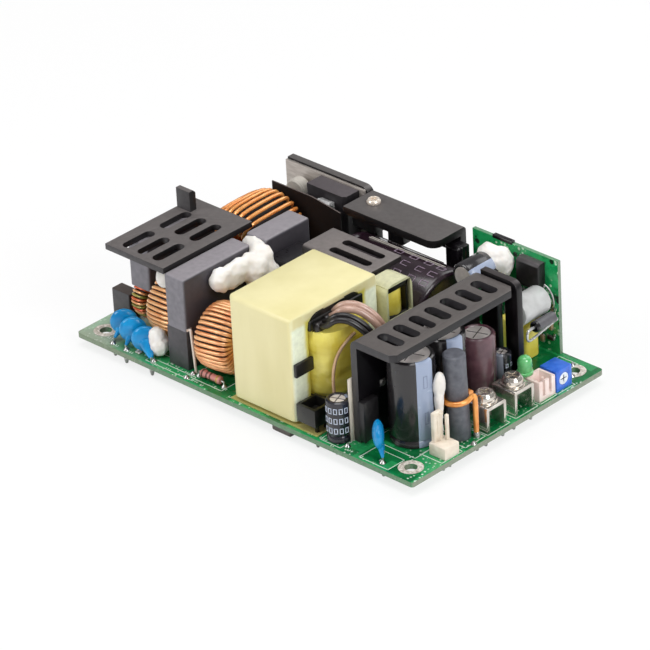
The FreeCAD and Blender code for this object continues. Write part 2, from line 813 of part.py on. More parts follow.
def insulating_sheets():
    """Films behind the boost choke, at the rear and output heat sinks and under the transformer."""
    x, y = tall_film_place
    left = x - tall_film_length / 2
    face = y - film_thickness / 2
    tall = prism([point(left, face), point(left + tall_film_length, face),
                  point(left + tall_film_length, face, tall_film_low_height),
                  point(left + tall_film_level_length, face, tall_film_height),
                  point(left, face, tall_film_height)],
                 along_y, film_thickness)
    low = block(low_film_place, (low_film_length, film_thickness, low_film_height))
    x_range = (core_left - 0.8, core_left + core_length + base_film_reach)
    base = slab(x_range, (core_front - 0.6, core_front + core_width + 0.6), (0, film_thickness))
    front = output_sink_front - edge_film_reach
    edge = slab((output_sink_left - film_thickness, output_sink_left), (front, front + edge_film_length),
                (0, edge_film_height))
    save("insulating_sheets", tall, low, base, edge)


def pan_head(top_point, radius, height, recess):
    """A pan head seated at a point, with a cross recess."""
    profile = [(0, 0), (radius, 0), (radius, height * 0.5), (radius * 0.78, height), (0, height)]
    width, length, depth = recess
    return turned(profile, top_point, upwards).cut(
        cross_recess(top_point + upwards * height, upwards, width, length, depth))


def flange_screw():
    seat = point(flange_screw_place[0], flange_screw_place[1], flange_top)
    head = pan_head(seat, pan_head_radius, pan_head_height,
                    (pan_recess_width, pan_recess_length, pan_recess_depth))
    shank_radius = pan_head_radius * 0.6 - seat_gap
    shank = cylinder(seat - upwards * primary_plate_thickness, upwards, shank_radius, primary_plate_thickness)
    save("flange_screw", head.fuse(shank))


def package(x, y_back, lift):
    """A transistor whose back lies on an upright plate in front of y_back, with three legs to the board."""
    body = slab((x - package_width / 2, x + package_width / 2), (y_back, y_back + package_thickness),
                (lift, lift + package_height))
    leg_y = y_back + package_thickness * 0.4
    for number in (-1, 0, 1):
        leg_x = x + number * package_leg_pitch
        leg = slab((leg_x - package_leg_width / 2, leg_x + package_leg_width / 2),
                   (leg_y - package_leg_thickness / 2, leg_y + package_leg_thickness / 2), (0, lift))
        body = body.fuse(leg)
        foot(leg_x, leg_y)
    return body


def power_transistors():
    """The switching transistors, the boost transistor under the flange, and the output one."""
    packages = []
    for x in switch_package_places:
        packages.append(package(x, switch_sink_front + switch_sink_thickness, switch_package_lift))
    top = flange_top - primary_plate_thickness
    x, y = flange_screw_place
    packages.append(slab((x - package_width / 2 + 0.6, x + package_width / 2 - 0.6),
                         (flange_front + 2.4, y + 3.4),
                         (top - package_thickness, top)))
    packages.append(block(hanging_package_place, hanging_package_size, top - hanging_package_size[2]))
    thickness, width, height = output_package_size
    sink_face = output_sink_left + output_sink_thickness
    output = slab((sink_face, sink_face + thickness),
                  (output_package_centre - width / 2, output_package_centre + width / 2),
                  (output_package_lift, output_package_lift + height))
    for side in (-1, 1):
        leg_y = output_package_centre + side * width / 4
        output = output.fuse(slab((sink_face + thickness / 2 - 0.25, sink_face + thickness / 2 + 0.25),
                                  (leg_y - 0.4, leg_y + 0.4), (0, output_package_lift)))
        foot(sink_face + thickness / 2, leg_y)
    save("power_transistors", *packages, output)


def switch_heat_sink():
    """The bent plate behind the transformer, with two long slots in its flange."""
    upright = slab((switch_sink_left, switch_sink_right),
                   (switch_sink_front, switch_sink_front + switch_sink_thickness), (0, switch_sink_top))
    flange = slab((switch_sink_left, switch_sink_right), (switch_sink_front, switch_sink_back),
                  (switch_sink_top - switch_sink_thickness, switch_sink_top))
    bent = upright.fuse(flange).removeSplitter()
    bent = bent.makeFillet(bend_radius, edges_along(
        bent, along_x, lambda middle: middle.z > switch_sink_top - 0.1 and middle.y < switch_sink_front + 0.1))
    for number in range(2):
        centre = point(switch_slot_centre, switch_slot_start + number * switch_slot_pitch,
                       switch_sink_top - switch_sink_thickness)
        bent = bent.cut(slot(centre, switch_slot_size, upwards, switch_sink_thickness))
    foot(switch_sink_left + 3, switch_sink_front + switch_sink_thickness / 2)
    foot(switch_sink_right - 3, switch_sink_front + switch_sink_thickness / 2)
    save("switch_heat_sink", bent)


def electrolytic(start, direction, radius, height):
    """A sleeved can with a rolled groove near its base and a raised rim round its top."""
    lid_radius = radius - 2 * can_rim
    lid_height = height - can_rim / 2
    profile = [(0, 0), (radius, 0), (radius, can_groove_height - can_groove),
               (radius - can_groove, can_groove_height), (radius, can_groove_height + can_groove),
               (radius, height - can_rim), (radius - can_rim, height), (lid_radius, height),
               (lid_radius, lid_height), (0, lid_height)]
    return turned(profile, start, direction)


def electrolytics():
    start = point(bulk_capacitor_start, bulk_capacitor_place, bulk_capacitor_radius + air_gap)
    save("bulk_capacitor", electrolytic(start, along_x, bulk_capacitor_radius, bulk_capacitor_length))
    tall = []
    for x, y in output_capacitor_places:
        tall.append(electrolytic(point(x, y), upwards, output_capacitor_radius, output_capacitor_height))
        foot(x, y - 2.5)
        foot(x, y + 2.5)
    save("output_capacitors", *tall)
    x, y = filter_capacitor_place
    save("filter_capacitor",
         electrolytic(point(x, y), upwards, filter_capacitor_radius, filter_capacitor_height))
    foot(x - 1.8, y)
    foot(x + 1.8, y)
    small = []
    for place, radius, height in ((small_capacitor_place, small_capacitor_radius, small_capacitor_height),
                                  (control_capacitor_place, control_capacitor_radius,
                                   control_capacitor_height)):
        small.append(electrolytic(point(place[0], place[1]), upwards, radius, height))
        foot(place[0], place[1] - 1.2)
        foot(place[0], place[1] + 1.2)
    x, y = bias_capacitor_place
    start = point(x, y + bias_capacitor_length, bias_capacitor_centre_height)
    lying = electrolytic(start, along_y * -1, bias_capacitor_radius, bias_capacitor_length)
    for side in (-1, 1):
        lead_start = start + along_x * (side * bias_lead_pitch / 2) - along_y * 0.5
        lying = lying.fuse(cylinder(lead_start, along_y, lead_radius, control_front - lead_start.y))
    save("small_capacitors", *small, lying)


def transformer():
    """The main transformer: taped core, winding, bobbin with its terminal block, and core clip."""
    right = core_left + core_length
    back = core_front + core_width
    top = core_height
    core = slab((core_left, right), (core_front, back), (core_lift, top))
    core = core.makeFillet(core_tape_radius, edges_along(core, along_x, lambda middle: middle.z > core_lift + 1)
                           + edges_along(core, upwards))
    window_floor = core_lift + core_yoke_height
    window_ceiling = top - core_yoke_height
    middle_y = (core_front + back) / 2
    window_front = core_front + core_leg_width
    window_back = back - core_leg_width
    half_leg = core_centre_leg_width / 2
    centre_leg = slab((core_left, right), (middle_y - half_leg, middle_y + half_leg),
                      (window_floor, window_ceiling))
    window = slab((core_left, right), (window_front, window_back), (window_floor, window_ceiling))
    window = window.makeFillet(core_window_radius, edges_along(
        window, along_x, lambda middle: middle.z > window_ceiling - 0.1))
    save("transformer_core", core.cut(window.cut(centre_leg)))
    coil_front = window_front + winding_margin
    coil_back = window_back - winding_margin
    coil = slab((core_left - winding_bulge_left, right + winding_bulge_right), (coil_front, coil_back),
                (winding_floor, winding_ceiling))
    coil = coil.makeFillet(min(winding_radius, (coil_back - coil_front) / 2 - 0.5), edges_along(coil, upwards))
    leg = slab((core_left - running_gap, right + running_gap),
               (middle_y - half_leg - running_gap, middle_y + half_leg + running_gap),
               (window_floor, window_ceiling))
    save("transformer_winding", coil.cut(leg))
    lower = slab((core_left - bobbin_overhang, right + bobbin_overhang), (coil_front, coil_back),
                 (window_floor, winding_floor - seat_gap))
    upper = slab((core_left - bobbin_overhang, right + bobbin_overhang), (coil_front, coil_back),
                 (winding_ceiling + seat_gap, window_ceiling))
    upper = upper.makeFillet(core_window_radius, edges_along(
        upper, along_x, lambda middle: middle.z > window_ceiling - 0.1))
    x, y = terminal_block_place
    length, width, height = terminal_block_size
    block_floor = film_thickness + terminal_block_lift
    terminals = block(terminal_block_place, terminal_block_size, block_floor)
    pocket = block(terminal_block_place, (length - 2 * terminal_block_wall, width - 2 * terminal_block_wall,
                                          terminal_block_pocket), block_floor + height - terminal_block_pocket)
    terminals = terminals.cut(pocket)
    pin_x = x + length / 2 - 1.4
    for side in (-1, 1):
        pin_y = y + side * terminal_pin_pitch / 2
        terminals = terminals.fuse(block((pin_x, pin_y), (0.9, 0.9, terminal_block_lift), film_thickness))
        foot(pin_x, pin_y)
    web = slab((right + seat_gap, pin_x), (y, coil_front + 1.4), (block_floor, block_floor + 1.2))
    save("transformer_bobbin", lower.cut(leg).fuse([terminals, web]), upper.cut(leg))
    clip = slab((right, right + core_clip_thickness), (core_front + 0.3, core_front + core_leg_width + 0.4),
                (core_clip_lift, core_clip_lift + core_clip_height))
    save("core_clip", clip)


def standby_transformer():
    """A taped frame with a window, and in it the coil between the flanges of its bobbin."""
    length, width, height = standby_size
    x, y = standby_place
    frame = block(standby_place, standby_size)
    frame = frame.makeFillet(standby_tape_radius, edges_along(frame, along_x, lambda middle: middle.z > 1))
    window_width, window_height = standby_window
    floor = standby_window_top - window_height
    frame = frame.cut(block(standby_place, (length, window_width, window_height), floor))
    save("standby_core", frame)
    coil = cylinder(point(x, y, floor), upwards, standby_coil_radius, window_height)
    for flange_floor in (floor, standby_window_top - standby_flange):
        coil = coil.fuse(block(standby_place, (length - 0.4, window_width - 2 * running_gap, standby_flange),
                               flange_floor))
    save("standby_coil", coil)
    for side in (-1, 1):
        foot(x, y + side * width / 4)


def transformer_leads():
    """Four leads that arch from the winding to the output side, and one thin lead beside it."""
    right = core_left + core_length
    coil_top = winding_ceiling
    angle = math.radians(lead_heading)
    heading = point(math.cos(angle), math.sin(angle))
    aside = point(math.sin(angle), -math.cos(angle))
    leads = []
    for data in output_leads:
        start = point(right + lead_start[0], lead_start[1], coil_top)
        start = start + aside * data["aside"] - heading * data["back"]
        rise = data["peak"] - coil_top
        reach = data["reach"]
        end = start + heading * reach
        crown = start + heading * (reach * lead_crown_share) + upwards * (rise - lead_crown_drop)
        route = [start, start + upwards * rise, crown, end - upwards * lead_fall_drop, point(end.x, end.y)]
        leads.append(tube(route, data["radius"], lead_bend))
        foot(end.x, end.y)
    save("output_leads", *leads)
    side = right + winding_bulge_right + sense_lead_radius
    end = point(side + sense_lead_offset, sense_lead_foot)
    route = [point(side, *sense_lead_start), point(side, *sense_lead_knee),
             end + upwards * sense_lead_straight, end]
    foot(end.x, end.y)
    save("sense_lead", tube(route, sense_lead_radius, sense_lead_bend))


def output_heat_sink():
    """The bent plate along the output side, its flange with a row of oval slots, and a rivet on its face."""
    upright = slab((output_sink_left, output_sink_left + output_sink_thickness),
                   (output_sink_front, output_sink_back), (0, output_sink_top))
    flange = slab((output_sink_left, output_flange_right), (output_sink_front, output_sink_back),
                  (output_sink_top - output_sink_thickness, output_sink_top))
    flange = flange.makeChamfer(output_flange_corner, edges_along(
        flange, upwards, lambda middle: middle.x > output_flange_right - 0.1))
    bent = upright.fuse(flange).removeSplitter()
    bent = bent.makeFillet(bend_radius * 2, edges_along(
        bent, along_y, lambda middle: middle.z > output_sink_top - 0.1 and middle.x < output_sink_left + 0.1))
    for number in range(output_slot_count):
        centre = point(output_slot_centre, output_slot_start + number * output_slot_pitch,
                       output_sink_top - output_sink_thickness)
        bent = bent.cut(slot(centre, output_slot_size, upwards, output_sink_thickness))
    face = output_sink_left + output_sink_thickness
    rivet = cylinder(point(face, rivet_place[0], rivet_place[1]), along_x, rivet_radius, rivet_height)
    for y in (output_sink_front + 4, output_sink_back - 6):
        foot(output_sink_left + output_sink_thickness / 2, y)
    save("output_heat_sink", bent.fuse(rivet))


def end_heat_sink():
    """A plate that stands on two legs, with a bar along its top and a rounded corner."""
    y_range = (end_sink_front, end_sink_front + end_sink_thickness)
    plate = slab((end_sink_left, end_sink_right), y_range, (0, end_sink_height))
    plate = plate.makeFillet(end_sink_radius, edges_along(
        plate, along_y, lambda middle: middle.x > end_sink_right - 0.1 and middle.z > 1))
    plate = plate.cut(slab((end_sink_left + end_sink_left_leg, end_sink_right - end_sink_leg), y_range,
                           (0, end_sink_height - end_sink_bar)))
    for x in (end_sink_left + end_sink_left_leg / 2, end_sink_right - end_sink_leg / 2):
        foot(x, end_sink_front + end_sink_thickness / 2)
    save("end_heat_sink", plate)


def back_edge_parts():
    body = block(bias_transformer_place, bias_transformer_size)
    save("bias_transformer", body.makeFillet(bias_transformer_radius, edges_along(body, along_x)
                                             + edges_along(body, upwards)))
    for side in (-1, 1):
        foot(bias_transformer_place[0] + side * 4, bias_transformer_place[1])
    length, width, height = boost_diode_size
    plate_front = primary_plate_back - primary_plate_thickness
    left = boost_diode_left
    diode = slab((left, left + length), (plate_front - width, plate_front),
                 (boost_diode_lift, boost_diode_lift + height))
    diode = diode.makeChamfer(0.9, edges_along(diode, along_x, lambda middle: middle.y < plate_front - 1)
                              + edges_along(diode, upwards, lambda middle: middle.y < plate_front - 1))
    for side in (-1, 1):
        leg_x = left + length / 2 + side * package_leg_pitch / 2
        leg_y = plate_front - width / 2
        leg = slab((leg_x - 0.4, leg_x + 0.4), (leg_y - 0.3, leg_y + 0.3), (0, boost_diode_lift))
        diode = diode.fuse(leg)
        foot(leg_x, leg_y)
    save("boost_diode", diode)


def rod_choke():
    x, y = rod_place
    rod = cylinder(point(x, y), upwards, rod_radius, rod_height)
    rod = rod.makeChamfer(rod_chamfer, [edge for edge in rod.Edges if edge.CenterOfMass.z > rod_height - 0.1])
    save("rod_choke_core", rod)
    turn_radius = rod_radius + rod_wire_radius + running_gap
    turn = Part.makeTorus(turn_radius, rod_wire_radius, point(x, y, rod_turn_height))
    leg_x = x + rod_leg_offset[0]
    leg_y = y + rod_leg_offset[1]
    leg = cylinder(point(leg_x, leg_y), upwards, rod_wire_radius, rod_turn_height)
    foot(leg_x, leg_y)
    save("rod_choke_wire", turn.fuse(leg))


def output_header():
    """A two-pin header: open shroud, locking tab at its back and square pins."""
    length, width, height = header_size
    x, y = header_place
    body = block(header_place, header_size)
    left = x - length / 2
    tab = slab((left, left + header_tab_size[0]), (y - header_tab_size[1] / 2, y + header_tab_size[1] / 2),
               (height, height + header_tab_size[2]))
    gap = slab((left, left + header_tab_size[0]), (y - 0.7, y + 0.7),
               (height + 1.0, height + header_tab_size[2]))
    body = body.fuse(tab).cut(gap)
    for side in (-1, 1):
        pin_place = (x + 0.6, y + side * header_pin_pitch / 2)
        body = body.fuse(block(pin_place, (header_pin_size, header_pin_size, header_pin_height), height))
        foot(*pin_place)
    save("output_header", body.removeSplitter())


def screw_terminals():
    """Two bent brackets, open front and back, each with a pan screw and its washer."""
    brackets = []
    screws = []
    x = terminal_right - terminal_length / 2
    for y in terminal_centres:
        outer = block((x, y), (terminal_length, terminal_width, terminal_height))
        outer = outer.makeFillet(terminal_bend_radius, edges_along(outer, along_x, lambda middle: middle.z > 1))
        inner = block((x, y), (terminal_length, terminal_width - 2 * terminal_sheet,
                               terminal_height - terminal_sheet))
        hole_radius = terminal_shank_radius + seat_gap
        hole = cylinder(point(x, y, terminal_height - terminal_sheet), upwards, hole_radius, terminal_sheet)
        brackets.append(outer.cut(inner).cut(hole))
        seat = point(x, y, terminal_height)
        washer = cylinder(seat, upwards, terminal_washer_radius, terminal_washer_height)
        head = pan_head(seat + upwards * terminal_washer_height, terminal_head_radius, terminal_head_height,
                        (terminal_recess_width, terminal_recess_length, terminal_recess_depth))
        shank = cylinder(seat - upwards * terminal_shank_length, upwards, terminal_shank_radius,
                         terminal_shank_length)
        screws.append(washer.fuse([head, shank]))
        for side_x in (-1, 1):
            for side_y in (-1, 1):
                foot(x + side_x * 3, y + side_y * (terminal_width - terminal_sheet) / 2)
    save("screw_terminals", *brackets)
    save("terminal_screws", *screws)


def fan_connector():
    """A small two-pole socket, open at the top, with a slot in its front wall and two pins."""
    length, width, height = fan_connector_size
    x = fan_connector_right - length / 2
    place = (x, fan_connector_centre)
    body = block(place, fan_connector_size)
    hollow = block(place, (length - 2 * fan_wall, width - 2 * fan_wall, height - fan_floor), fan_floor)
    body = body.cut(hollow)
    for side in (-1, 1):
        opening = block((fan_connector_right, fan_connector_centre + side * width / 5),
                        (2 * fan_wall + 0.2, fan_slot_width, height - fan_floor), fan_floor)
        body = body.cut(opening)
        pin_y = fan_connector_centre + side * width / 5
        body = body.fuse(block((x, pin_y), (0.6, 0.6, height - fan_floor - 1.0), fan_floor))
        foot(x, pin_y)
    save("fan_connector", body)


def trimmer():
    """The square trimmer with a round seat in its face, and the slotted rotor that turns in the seat."""
    length, width, height = trimmer_size
    body = block((trimmer_right - length / 2, trimmer_centre), trimmer_size)
    middle = point(trimmer_right, trimmer_centre, height / 2)
    seat_radius = rotor_radius + running_gap
    seat_depth = rotor_inset + rotor_depth + air_gap
    seat = cylinder(middle - along_x * seat_depth, along_x, seat_radius, seat_depth)
    save("trimmer_body", body.cut(seat))
    face = middle - along_x * rotor_inset
    rotor = cylinder(face - along_x * rotor_depth, along_x, rotor_radius, rotor_depth)
    rotor = rotor.cut(cross_recess(face, along_x, rotor_slot_width, rotor_slot_length, rotor_slot_depth))
    save("trimmer_rotor", rotor)
    for side in (-1, 1):
        foot(trimmer_right - length / 2, trimmer_centre + side * width / 4)


def status_led():
    """A lens held above the board on two long legs."""
    straight = led_height - led_radius
    dome = [(led_radius * math.cos(math.radians(angle)), straight + led_radius * math.sin(math.radians(angle)))
            for angle in (0, 30, 60, 90)]
    profile = [(0, 0), (led_flange_radius, 0), (led_flange_radius, led_flange_height),
               (led_radius, led_flange_height)] + dome
    x, y = led_place
    lens = turned(profile, point(x, y, led_lift), upwards)
    for side in (-1, 1):
        leg_y = y + side * led_leg_pitch / 2
        lens = lens.fuse(cylinder(point(x, leg_y), upwards, led_leg_radius, led_lift + led_flange_height / 2))
        foot(x, leg_y)
    save("status_led", lens)


def control_board():
    board = slab((control_left, control_left + control_length),
                 (control_front, control_front + control_thickness), (0, control_height))
    save("control_board", board)
    x, z = control_block_place
    length, width, height = control_block_size
    connector = slab((x - length / 2, x + length / 2), (control_front - width, control_front),
                     (z, z + height))
    connector = connector.makeChamfer(0.8, edges_along(
        connector, along_x, lambda middle: middle.y < control_front - 1))
    save("control_connector", connector)
    x, z = snubber_place
    start = point(x, control_front - snubber_gap - snubber_length, z)
    rim = 0.7
    profile = [(0, 0), (snubber_radius - rim, 0), (snubber_radius, rim), (snubber_radius, snubber_length - rim),
               (snubber_radius - rim, snubber_length), (0, snubber_length)]
    body = turned(profile, start, along_y)
    for side in (-1, 1):
        lead = start + along_y * (snubber_length - 0.5) + along_x * (side * 2.0)
        body = body.fuse(cylinder(lead, along_y, lead_radius, control_front - lead.y))
    save("snubber_capacitor", body)
    for number in range(6):
        foot(control_left + 3 + number * 5, control_front - 0.4)


def lump(x_range, y_range, z_range, bevel):
    """A soft-edged lump: a box with all its edges cut back."""
    body = slab(x_range, y_range, z_range)
    return body.makeChamfer(bevel, body.Edges)


def silicone_dabs():
    """White silicone that holds tall parts together; each dab only touches its neighbours."""
    x, y = silicone_dome_place
    radius = silicone_dome_radius
    height = silicone_dome_height
    dome = turned([(0, 0), (radius, 0), (radius, height * 0.45), (radius * 0.6, height * 0.85), (0, height)],
                  point(x, y), upwards)
    dome = dome.cut(disc_capacitor(disc_capacitors[2]))
    right = front_capacitor_place[0] + front_capacitor_size[0] / 2
    back = front_capacitor_place[1] + front_capacitor_size[1] / 2
    top = riser_height + front_capacitor_size[2]
    middle_side = lump((right, right + side_dab["reach"]), (side_dab["front"], back + side_dab["back_reach"]),
                       (side_dab["floor"], top), 2.0)
    bulge_back = back + bulge_dab["back_reach"]
    middle_bulge = lump((right + bulge_dab["start"], right + bulge_dab["reach"]),
                        (bulge_dab["front"], bulge_back), (bulge_dab["floor"], top - 1.0), 2.0)
    middle_top = lump((top_dab["left"], right + top_dab["reach"]), (back + seat_gap, bulge_back),
                      (top_dab["floor"], top + top_dab["rise"]), 1.4)
    middle = middle_side.fuse([middle_bulge, middle_top])
    under_cover = lump(cover_dab["x"], cover_dab["y"], cover_dab["z"], 1.6)
    x, y = bias_capacitor_place
    start = y + bias_capacitor_length
    rear = lump((x - bias_dab["left"], x + bias_dab["right"]), (start, control_front),
                (bias_dab["floor"], bias_dab["top"]), 1.4)
    for side in (-1, 1):
        lead_start = point(x + side * bias_lead_pitch / 2, start, bias_capacitor_centre_height)
        lead = cylinder(lead_start, along_y, lead_radius + 0.02, control_front - start)
        rear = rear.cut(lead)
    output = lump(output_dab["x"], output_dab["y"], output_dab["z"], 0.7)
    save("silicone_dabs", dome, middle, under_cover, rear, output)


def build():
    os.makedirs("parts", exist_ok=True)
    circuit_board()
    underside_diode()
    front_capacitor()
    rear_capacitor()
    film_capacitor()
    capacitor_risers()
    slotted_cover()
    fuse_box()
    chokes()
    save_disc_capacitors()
    axial_parts()
    relay()
    primary_heat_sink()
    rectifier_group()
    insulating_sheets()
    flange_screw()
    power_transistors()
    switch_heat_sink()
    electrolytics()
    transformer()
    standby_transformer()
    transformer_leads()
    output_heat_sink()
    end_heat_sink()
    back_edge_parts()
    rod_choke()
    output_header()
    screw_terminals()
    fan_connector()
    trimmer()
    status_led()
    control_board()
    silicone_dabs()
    solder_joints()


build()
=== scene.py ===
import bpy
import math
import random
from mathutils import Matrix, Vector


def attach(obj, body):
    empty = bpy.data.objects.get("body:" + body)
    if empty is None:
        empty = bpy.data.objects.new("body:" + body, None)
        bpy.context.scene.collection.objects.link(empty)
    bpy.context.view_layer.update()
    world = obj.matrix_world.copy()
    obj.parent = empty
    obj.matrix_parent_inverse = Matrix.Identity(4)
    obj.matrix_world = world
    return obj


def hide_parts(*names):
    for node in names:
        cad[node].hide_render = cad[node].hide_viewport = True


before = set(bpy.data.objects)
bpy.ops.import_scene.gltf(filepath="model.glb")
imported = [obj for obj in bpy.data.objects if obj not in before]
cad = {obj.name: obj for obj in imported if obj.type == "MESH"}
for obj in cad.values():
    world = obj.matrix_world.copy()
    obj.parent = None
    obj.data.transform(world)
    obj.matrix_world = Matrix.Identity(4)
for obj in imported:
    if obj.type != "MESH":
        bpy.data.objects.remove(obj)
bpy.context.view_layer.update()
random.seed(11)

# Places are given in millimetres on the circuit board: x and y from its front left corner, z from
# its top face. at() turns them into metres in the frame of the model.
mm = 0.001
board_length = 127.0
board_width = 76.2
board_thickness = 1.6
hole_inset = 5.715
lead_end_drop = 2.7
upwards, along_x, along_y, to_front = (0, 0, 1), (1, 0, 0), (0, 1, 0), (0, -1, 0)
white, black = (1, 1, 1, 1), (0, 0, 0, 1)


def at(x, y, z=0.0):
    return Vector(((x - board_length / 2) * mm, (y - board_width / 2) * mm, (z + board_thickness) * mm))


# ---------------------------------------------------------------- finishes


def paint(red, green, blue):
    """A colour as the eye reads it on a screen, 0 to 255, as the shader wants it."""
    channels = []
    for value in (red, green, blue):
        share = value / 255
        channels.append(share / 12.92 if share <= 0.04045 else ((share + 0.055) / 1.055) ** 2.4)
    return (*channels, 1.0)


def feed(node, inputs):
    """Each input named takes a value, or follows the output of another node."""
    for name, value in inputs.items():
        if isinstance(value, bpy.types.NodeSocket):
            node.id_data.links.new(value, node.inputs[name])
        else:
            node.inputs[name].default_value = value


def add(tree, kind, inputs=None, out=0, **settings):
    """Add a shader node with its settings and inputs, and return one of its outputs."""
    node = tree.nodes.new("ShaderNode" + kind)
    for name, value in settings.items():
        setattr(node, name, value)
    feed(node, inputs or {})
    return node.outputs[out]


def math_of(tree, operation, *values, kind="Math"):
    return add(tree, kind, dict(enumerate(values)), operation=operation)


def ranged(tree, value, low, high, to_low=0.0, to_high=1.0):
    """A value between low and high, stretched to lie between two others."""
    limits = {"From Min": low, "From Max": high, "To Min": to_low, "To Max": to_high}
    return add(tree, "MapRange", {"Value": value, **limits})


def noise(tree, place, scale, detail=2):
    return add(tree, "TexNoise", {"Vector": place, "Scale": scale, "Detail": detail})


def mixed(tree, share, under, over, **settings):
    return add(tree, "Mix", {"Factor": share, "A": under, "B": over}, "Result", data_type="RGBA", **settings)


def shader_of(material):
    return material.node_tree.nodes["Principled BSDF"]


def place_on(material):
    """The node tree of a material, and the place on the part that its patterns follow."""
    return material.node_tree, material.node_tree.nodes["place"].outputs["Object"]


def covered(material, share, colour):
    """Lay one more colour over the material, as much of it as share says at each spot."""
    under = shader_of(material).inputs["Base Color"].links[0].from_socket
    feed(shader_of(material), {"Base Color": mixed(material.node_tree, share, under, colour)})
    return material


def finish_of(name, dark, light, roughness, metal=0.0, coat=0.0, grain=500.0, stretch=(1, 1, 1), bump=0.04,
              bump_grain=2500.0):
    """A surface whose colour wanders between two shades, with uneven gloss and a fine bump."""
    material = bpy.data.materials.new(name)
    material.use_nodes = True
    tree = material.node_tree
    place = add(tree, "TexCoord", out="Object", name="place")
    stretched = add(tree, "Mapping", {"Vector": place, "Scale": stretch})
    wander = noise(tree, stretched, grain, 5)
    shades = add(tree, "ValToRGB", {"Fac": wander})
    for stop, position, colour in zip(shades.node.color_ramp.elements, (0.32, 0.68), (dark, light)):
        stop.position = position
        stop.color = paint(*colour)
    gloss_spread, bump_depth = 0.08, 0.0002
    fine = noise(tree, stretched, bump_grain, 3)
    relief = add(tree, "Bump", {"Height": fine, "Strength": bump, "Distance": bump_depth})
    feed(shader_of(material), {
        "Metallic": metal, "Coat Weight": coat, "Coat Roughness": 0.12, "Base Color": shades, "Normal": relief,
        "Roughness": ranged(tree, wander, 0, 1, roughness - gloss_spread, roughness + gloss_spread)})
    return material


def by_facing(material, axis, colour, low=0.5, high=0.9, both_ways=True):
    """Give the faces that look along one axis their own colour: the cut edge of a board, or painted light and shade
    on the top or a side.
    """
    tree, place = place_on(material)
    along = add(tree, "SeparateXYZ", {"Vector": add(tree, "NewGeometry", out="Normal")}, axis)
    size = math_of(tree, "ABSOLUTE" if both_ways else "ADD", along, 0.0)
    patchiness = ranged(tree, noise(tree, place, 700.0, 4), 0.3, 0.7, 0.8, 1.15)
    uneven = mixed(tree, 0.5, paint(*colour), patchiness, blend_type="MULTIPLY")
    return covered(material, ranged(tree, size, low, high), uneven)


def within(material, low, high, colour, metal=None, soft=0.0003, grain=0.0):
    """Give what lies inside a box of the part its own colour, and its own metal shine if asked."""
    tree, place = place_on(material)
    offset = math_of(tree, "SUBTRACT", place, (at(*low) + at(*high)) / 2, kind="VectorMath")
    size = math_of(tree, "ABSOLUTE", offset, kind="VectorMath")
    beyond = math_of(tree, "SUBTRACT", size, (at(*high) - at(*low)) / 2, kind="VectorMath")
    split = add(tree, "SeparateXYZ", {"Vector": beyond}).node.outputs
    distance = math_of(tree, "MAXIMUM", math_of(tree, "MAXIMUM", split["X"], split["Y"]), split["Z"])
    if grain:
        distance = math_of(tree, "MULTIPLY_ADD", noise(tree, place, 400.0, 4), grain, distance)
    inside = ranged(tree, distance, soft, -soft)
    if metal is not None:
        feed(shader_of(material), {"Metallic": math_of(tree, "MULTIPLY", inside, metal)})
    return covered(material, inside, paint(*colour))


def speckled(material, colour, scale, share, patch, spread):
    """Small flecks, such as solder and print on a crowded board, gathered in patches."""
    tree, place = place_on(material)
    small = ranged(tree, add(tree, "TexVoronoi", {"Vector": place, "Scale": scale}), share, share - 0.08)
    gather = ranged(tree, noise(tree, place, patch), 0.5, 0.5 + spread)
    return covered(material, math_of(tree, "MULTIPLY", small, gather), paint(*colour))


def solder_mask():
    """Green mask over copper: lighter where a broad trace runs under it, washed out by the left end."""
    material = finish_of("solder mask", (6, 100, 52), (16, 132, 70), 0.26, coat=0.5, grain=260.0, bump=0.02)
    tree, place = place_on(material)
    cells = add(tree, "TexVoronoi", {"Vector": place, "Scale": 95.0}, distance="CHEBYCHEV")
    covered(material, ranged(tree, cells, 0.40, 0.43, 0.0, 0.6), paint(48, 168, 98))
    within(material, (-2, -2, -0.4), (11.0, 80, 0.4), (208, 218, 202), soft=0.005)
    speckled(material, (206, 222, 206), 900.0, 0.3, 90.0, 0.08)
    # The cut edges get a paler colour of their own, and are shaded apart by side as light falls on them: painted
    # shade on the Y sides, painted light on the X sides.
    by_facing(material, "Y", (88, 128, 92))
    by_facing(material, "X", (122, 134, 112))
    return within(material, (-1, -1, -1.7), (22, 0.08, -0.05), (134, 138, 114), soft=0.006)


def upright_mask():
    """The same mask on an upright board, with bright cut edges and flecks of solder and print."""
    material = finish_of("upright mask", (12, 134, 72), (36, 166, 96), 0.28, coat=0.5, grain=300.0, bump=0.02)
    speckled(material, (190, 220, 190), 620.0, 0.34, 130.0, 0.05)
    speckled(material, (14, 44, 26), 480.0, 0.42, 110.0, 0.04)
    by_facing(material, "X", (112, 136, 112))
    return by_facing(material, "Z", (104, 150, 116))


def enamel(name, dark, light):
    return finish_of(name, dark, light, 0.22, metal=0.36, coat=0.8, grain=260.0, bump=0.02)


def insulating_film():
    """Black film with pale cut edges, pale yellow under the transformer and cream by the output heat sink."""
    material = finish_of("insulating film", (13, 10, 11), (22, 18, 19), 0.62)
    feed(shader_of(material), {"Specular IOR Level": 0.25})
    by_facing(material, "Z", (96, 86, 84), 0.6, 0.8)
    within(material, (59, 0, -0.1), (92, 36, 0.6), (198, 188, 112))
    return within(material, (99.6, 5.0, -0.1), (100.45, 21, 19), (232, 222, 206))


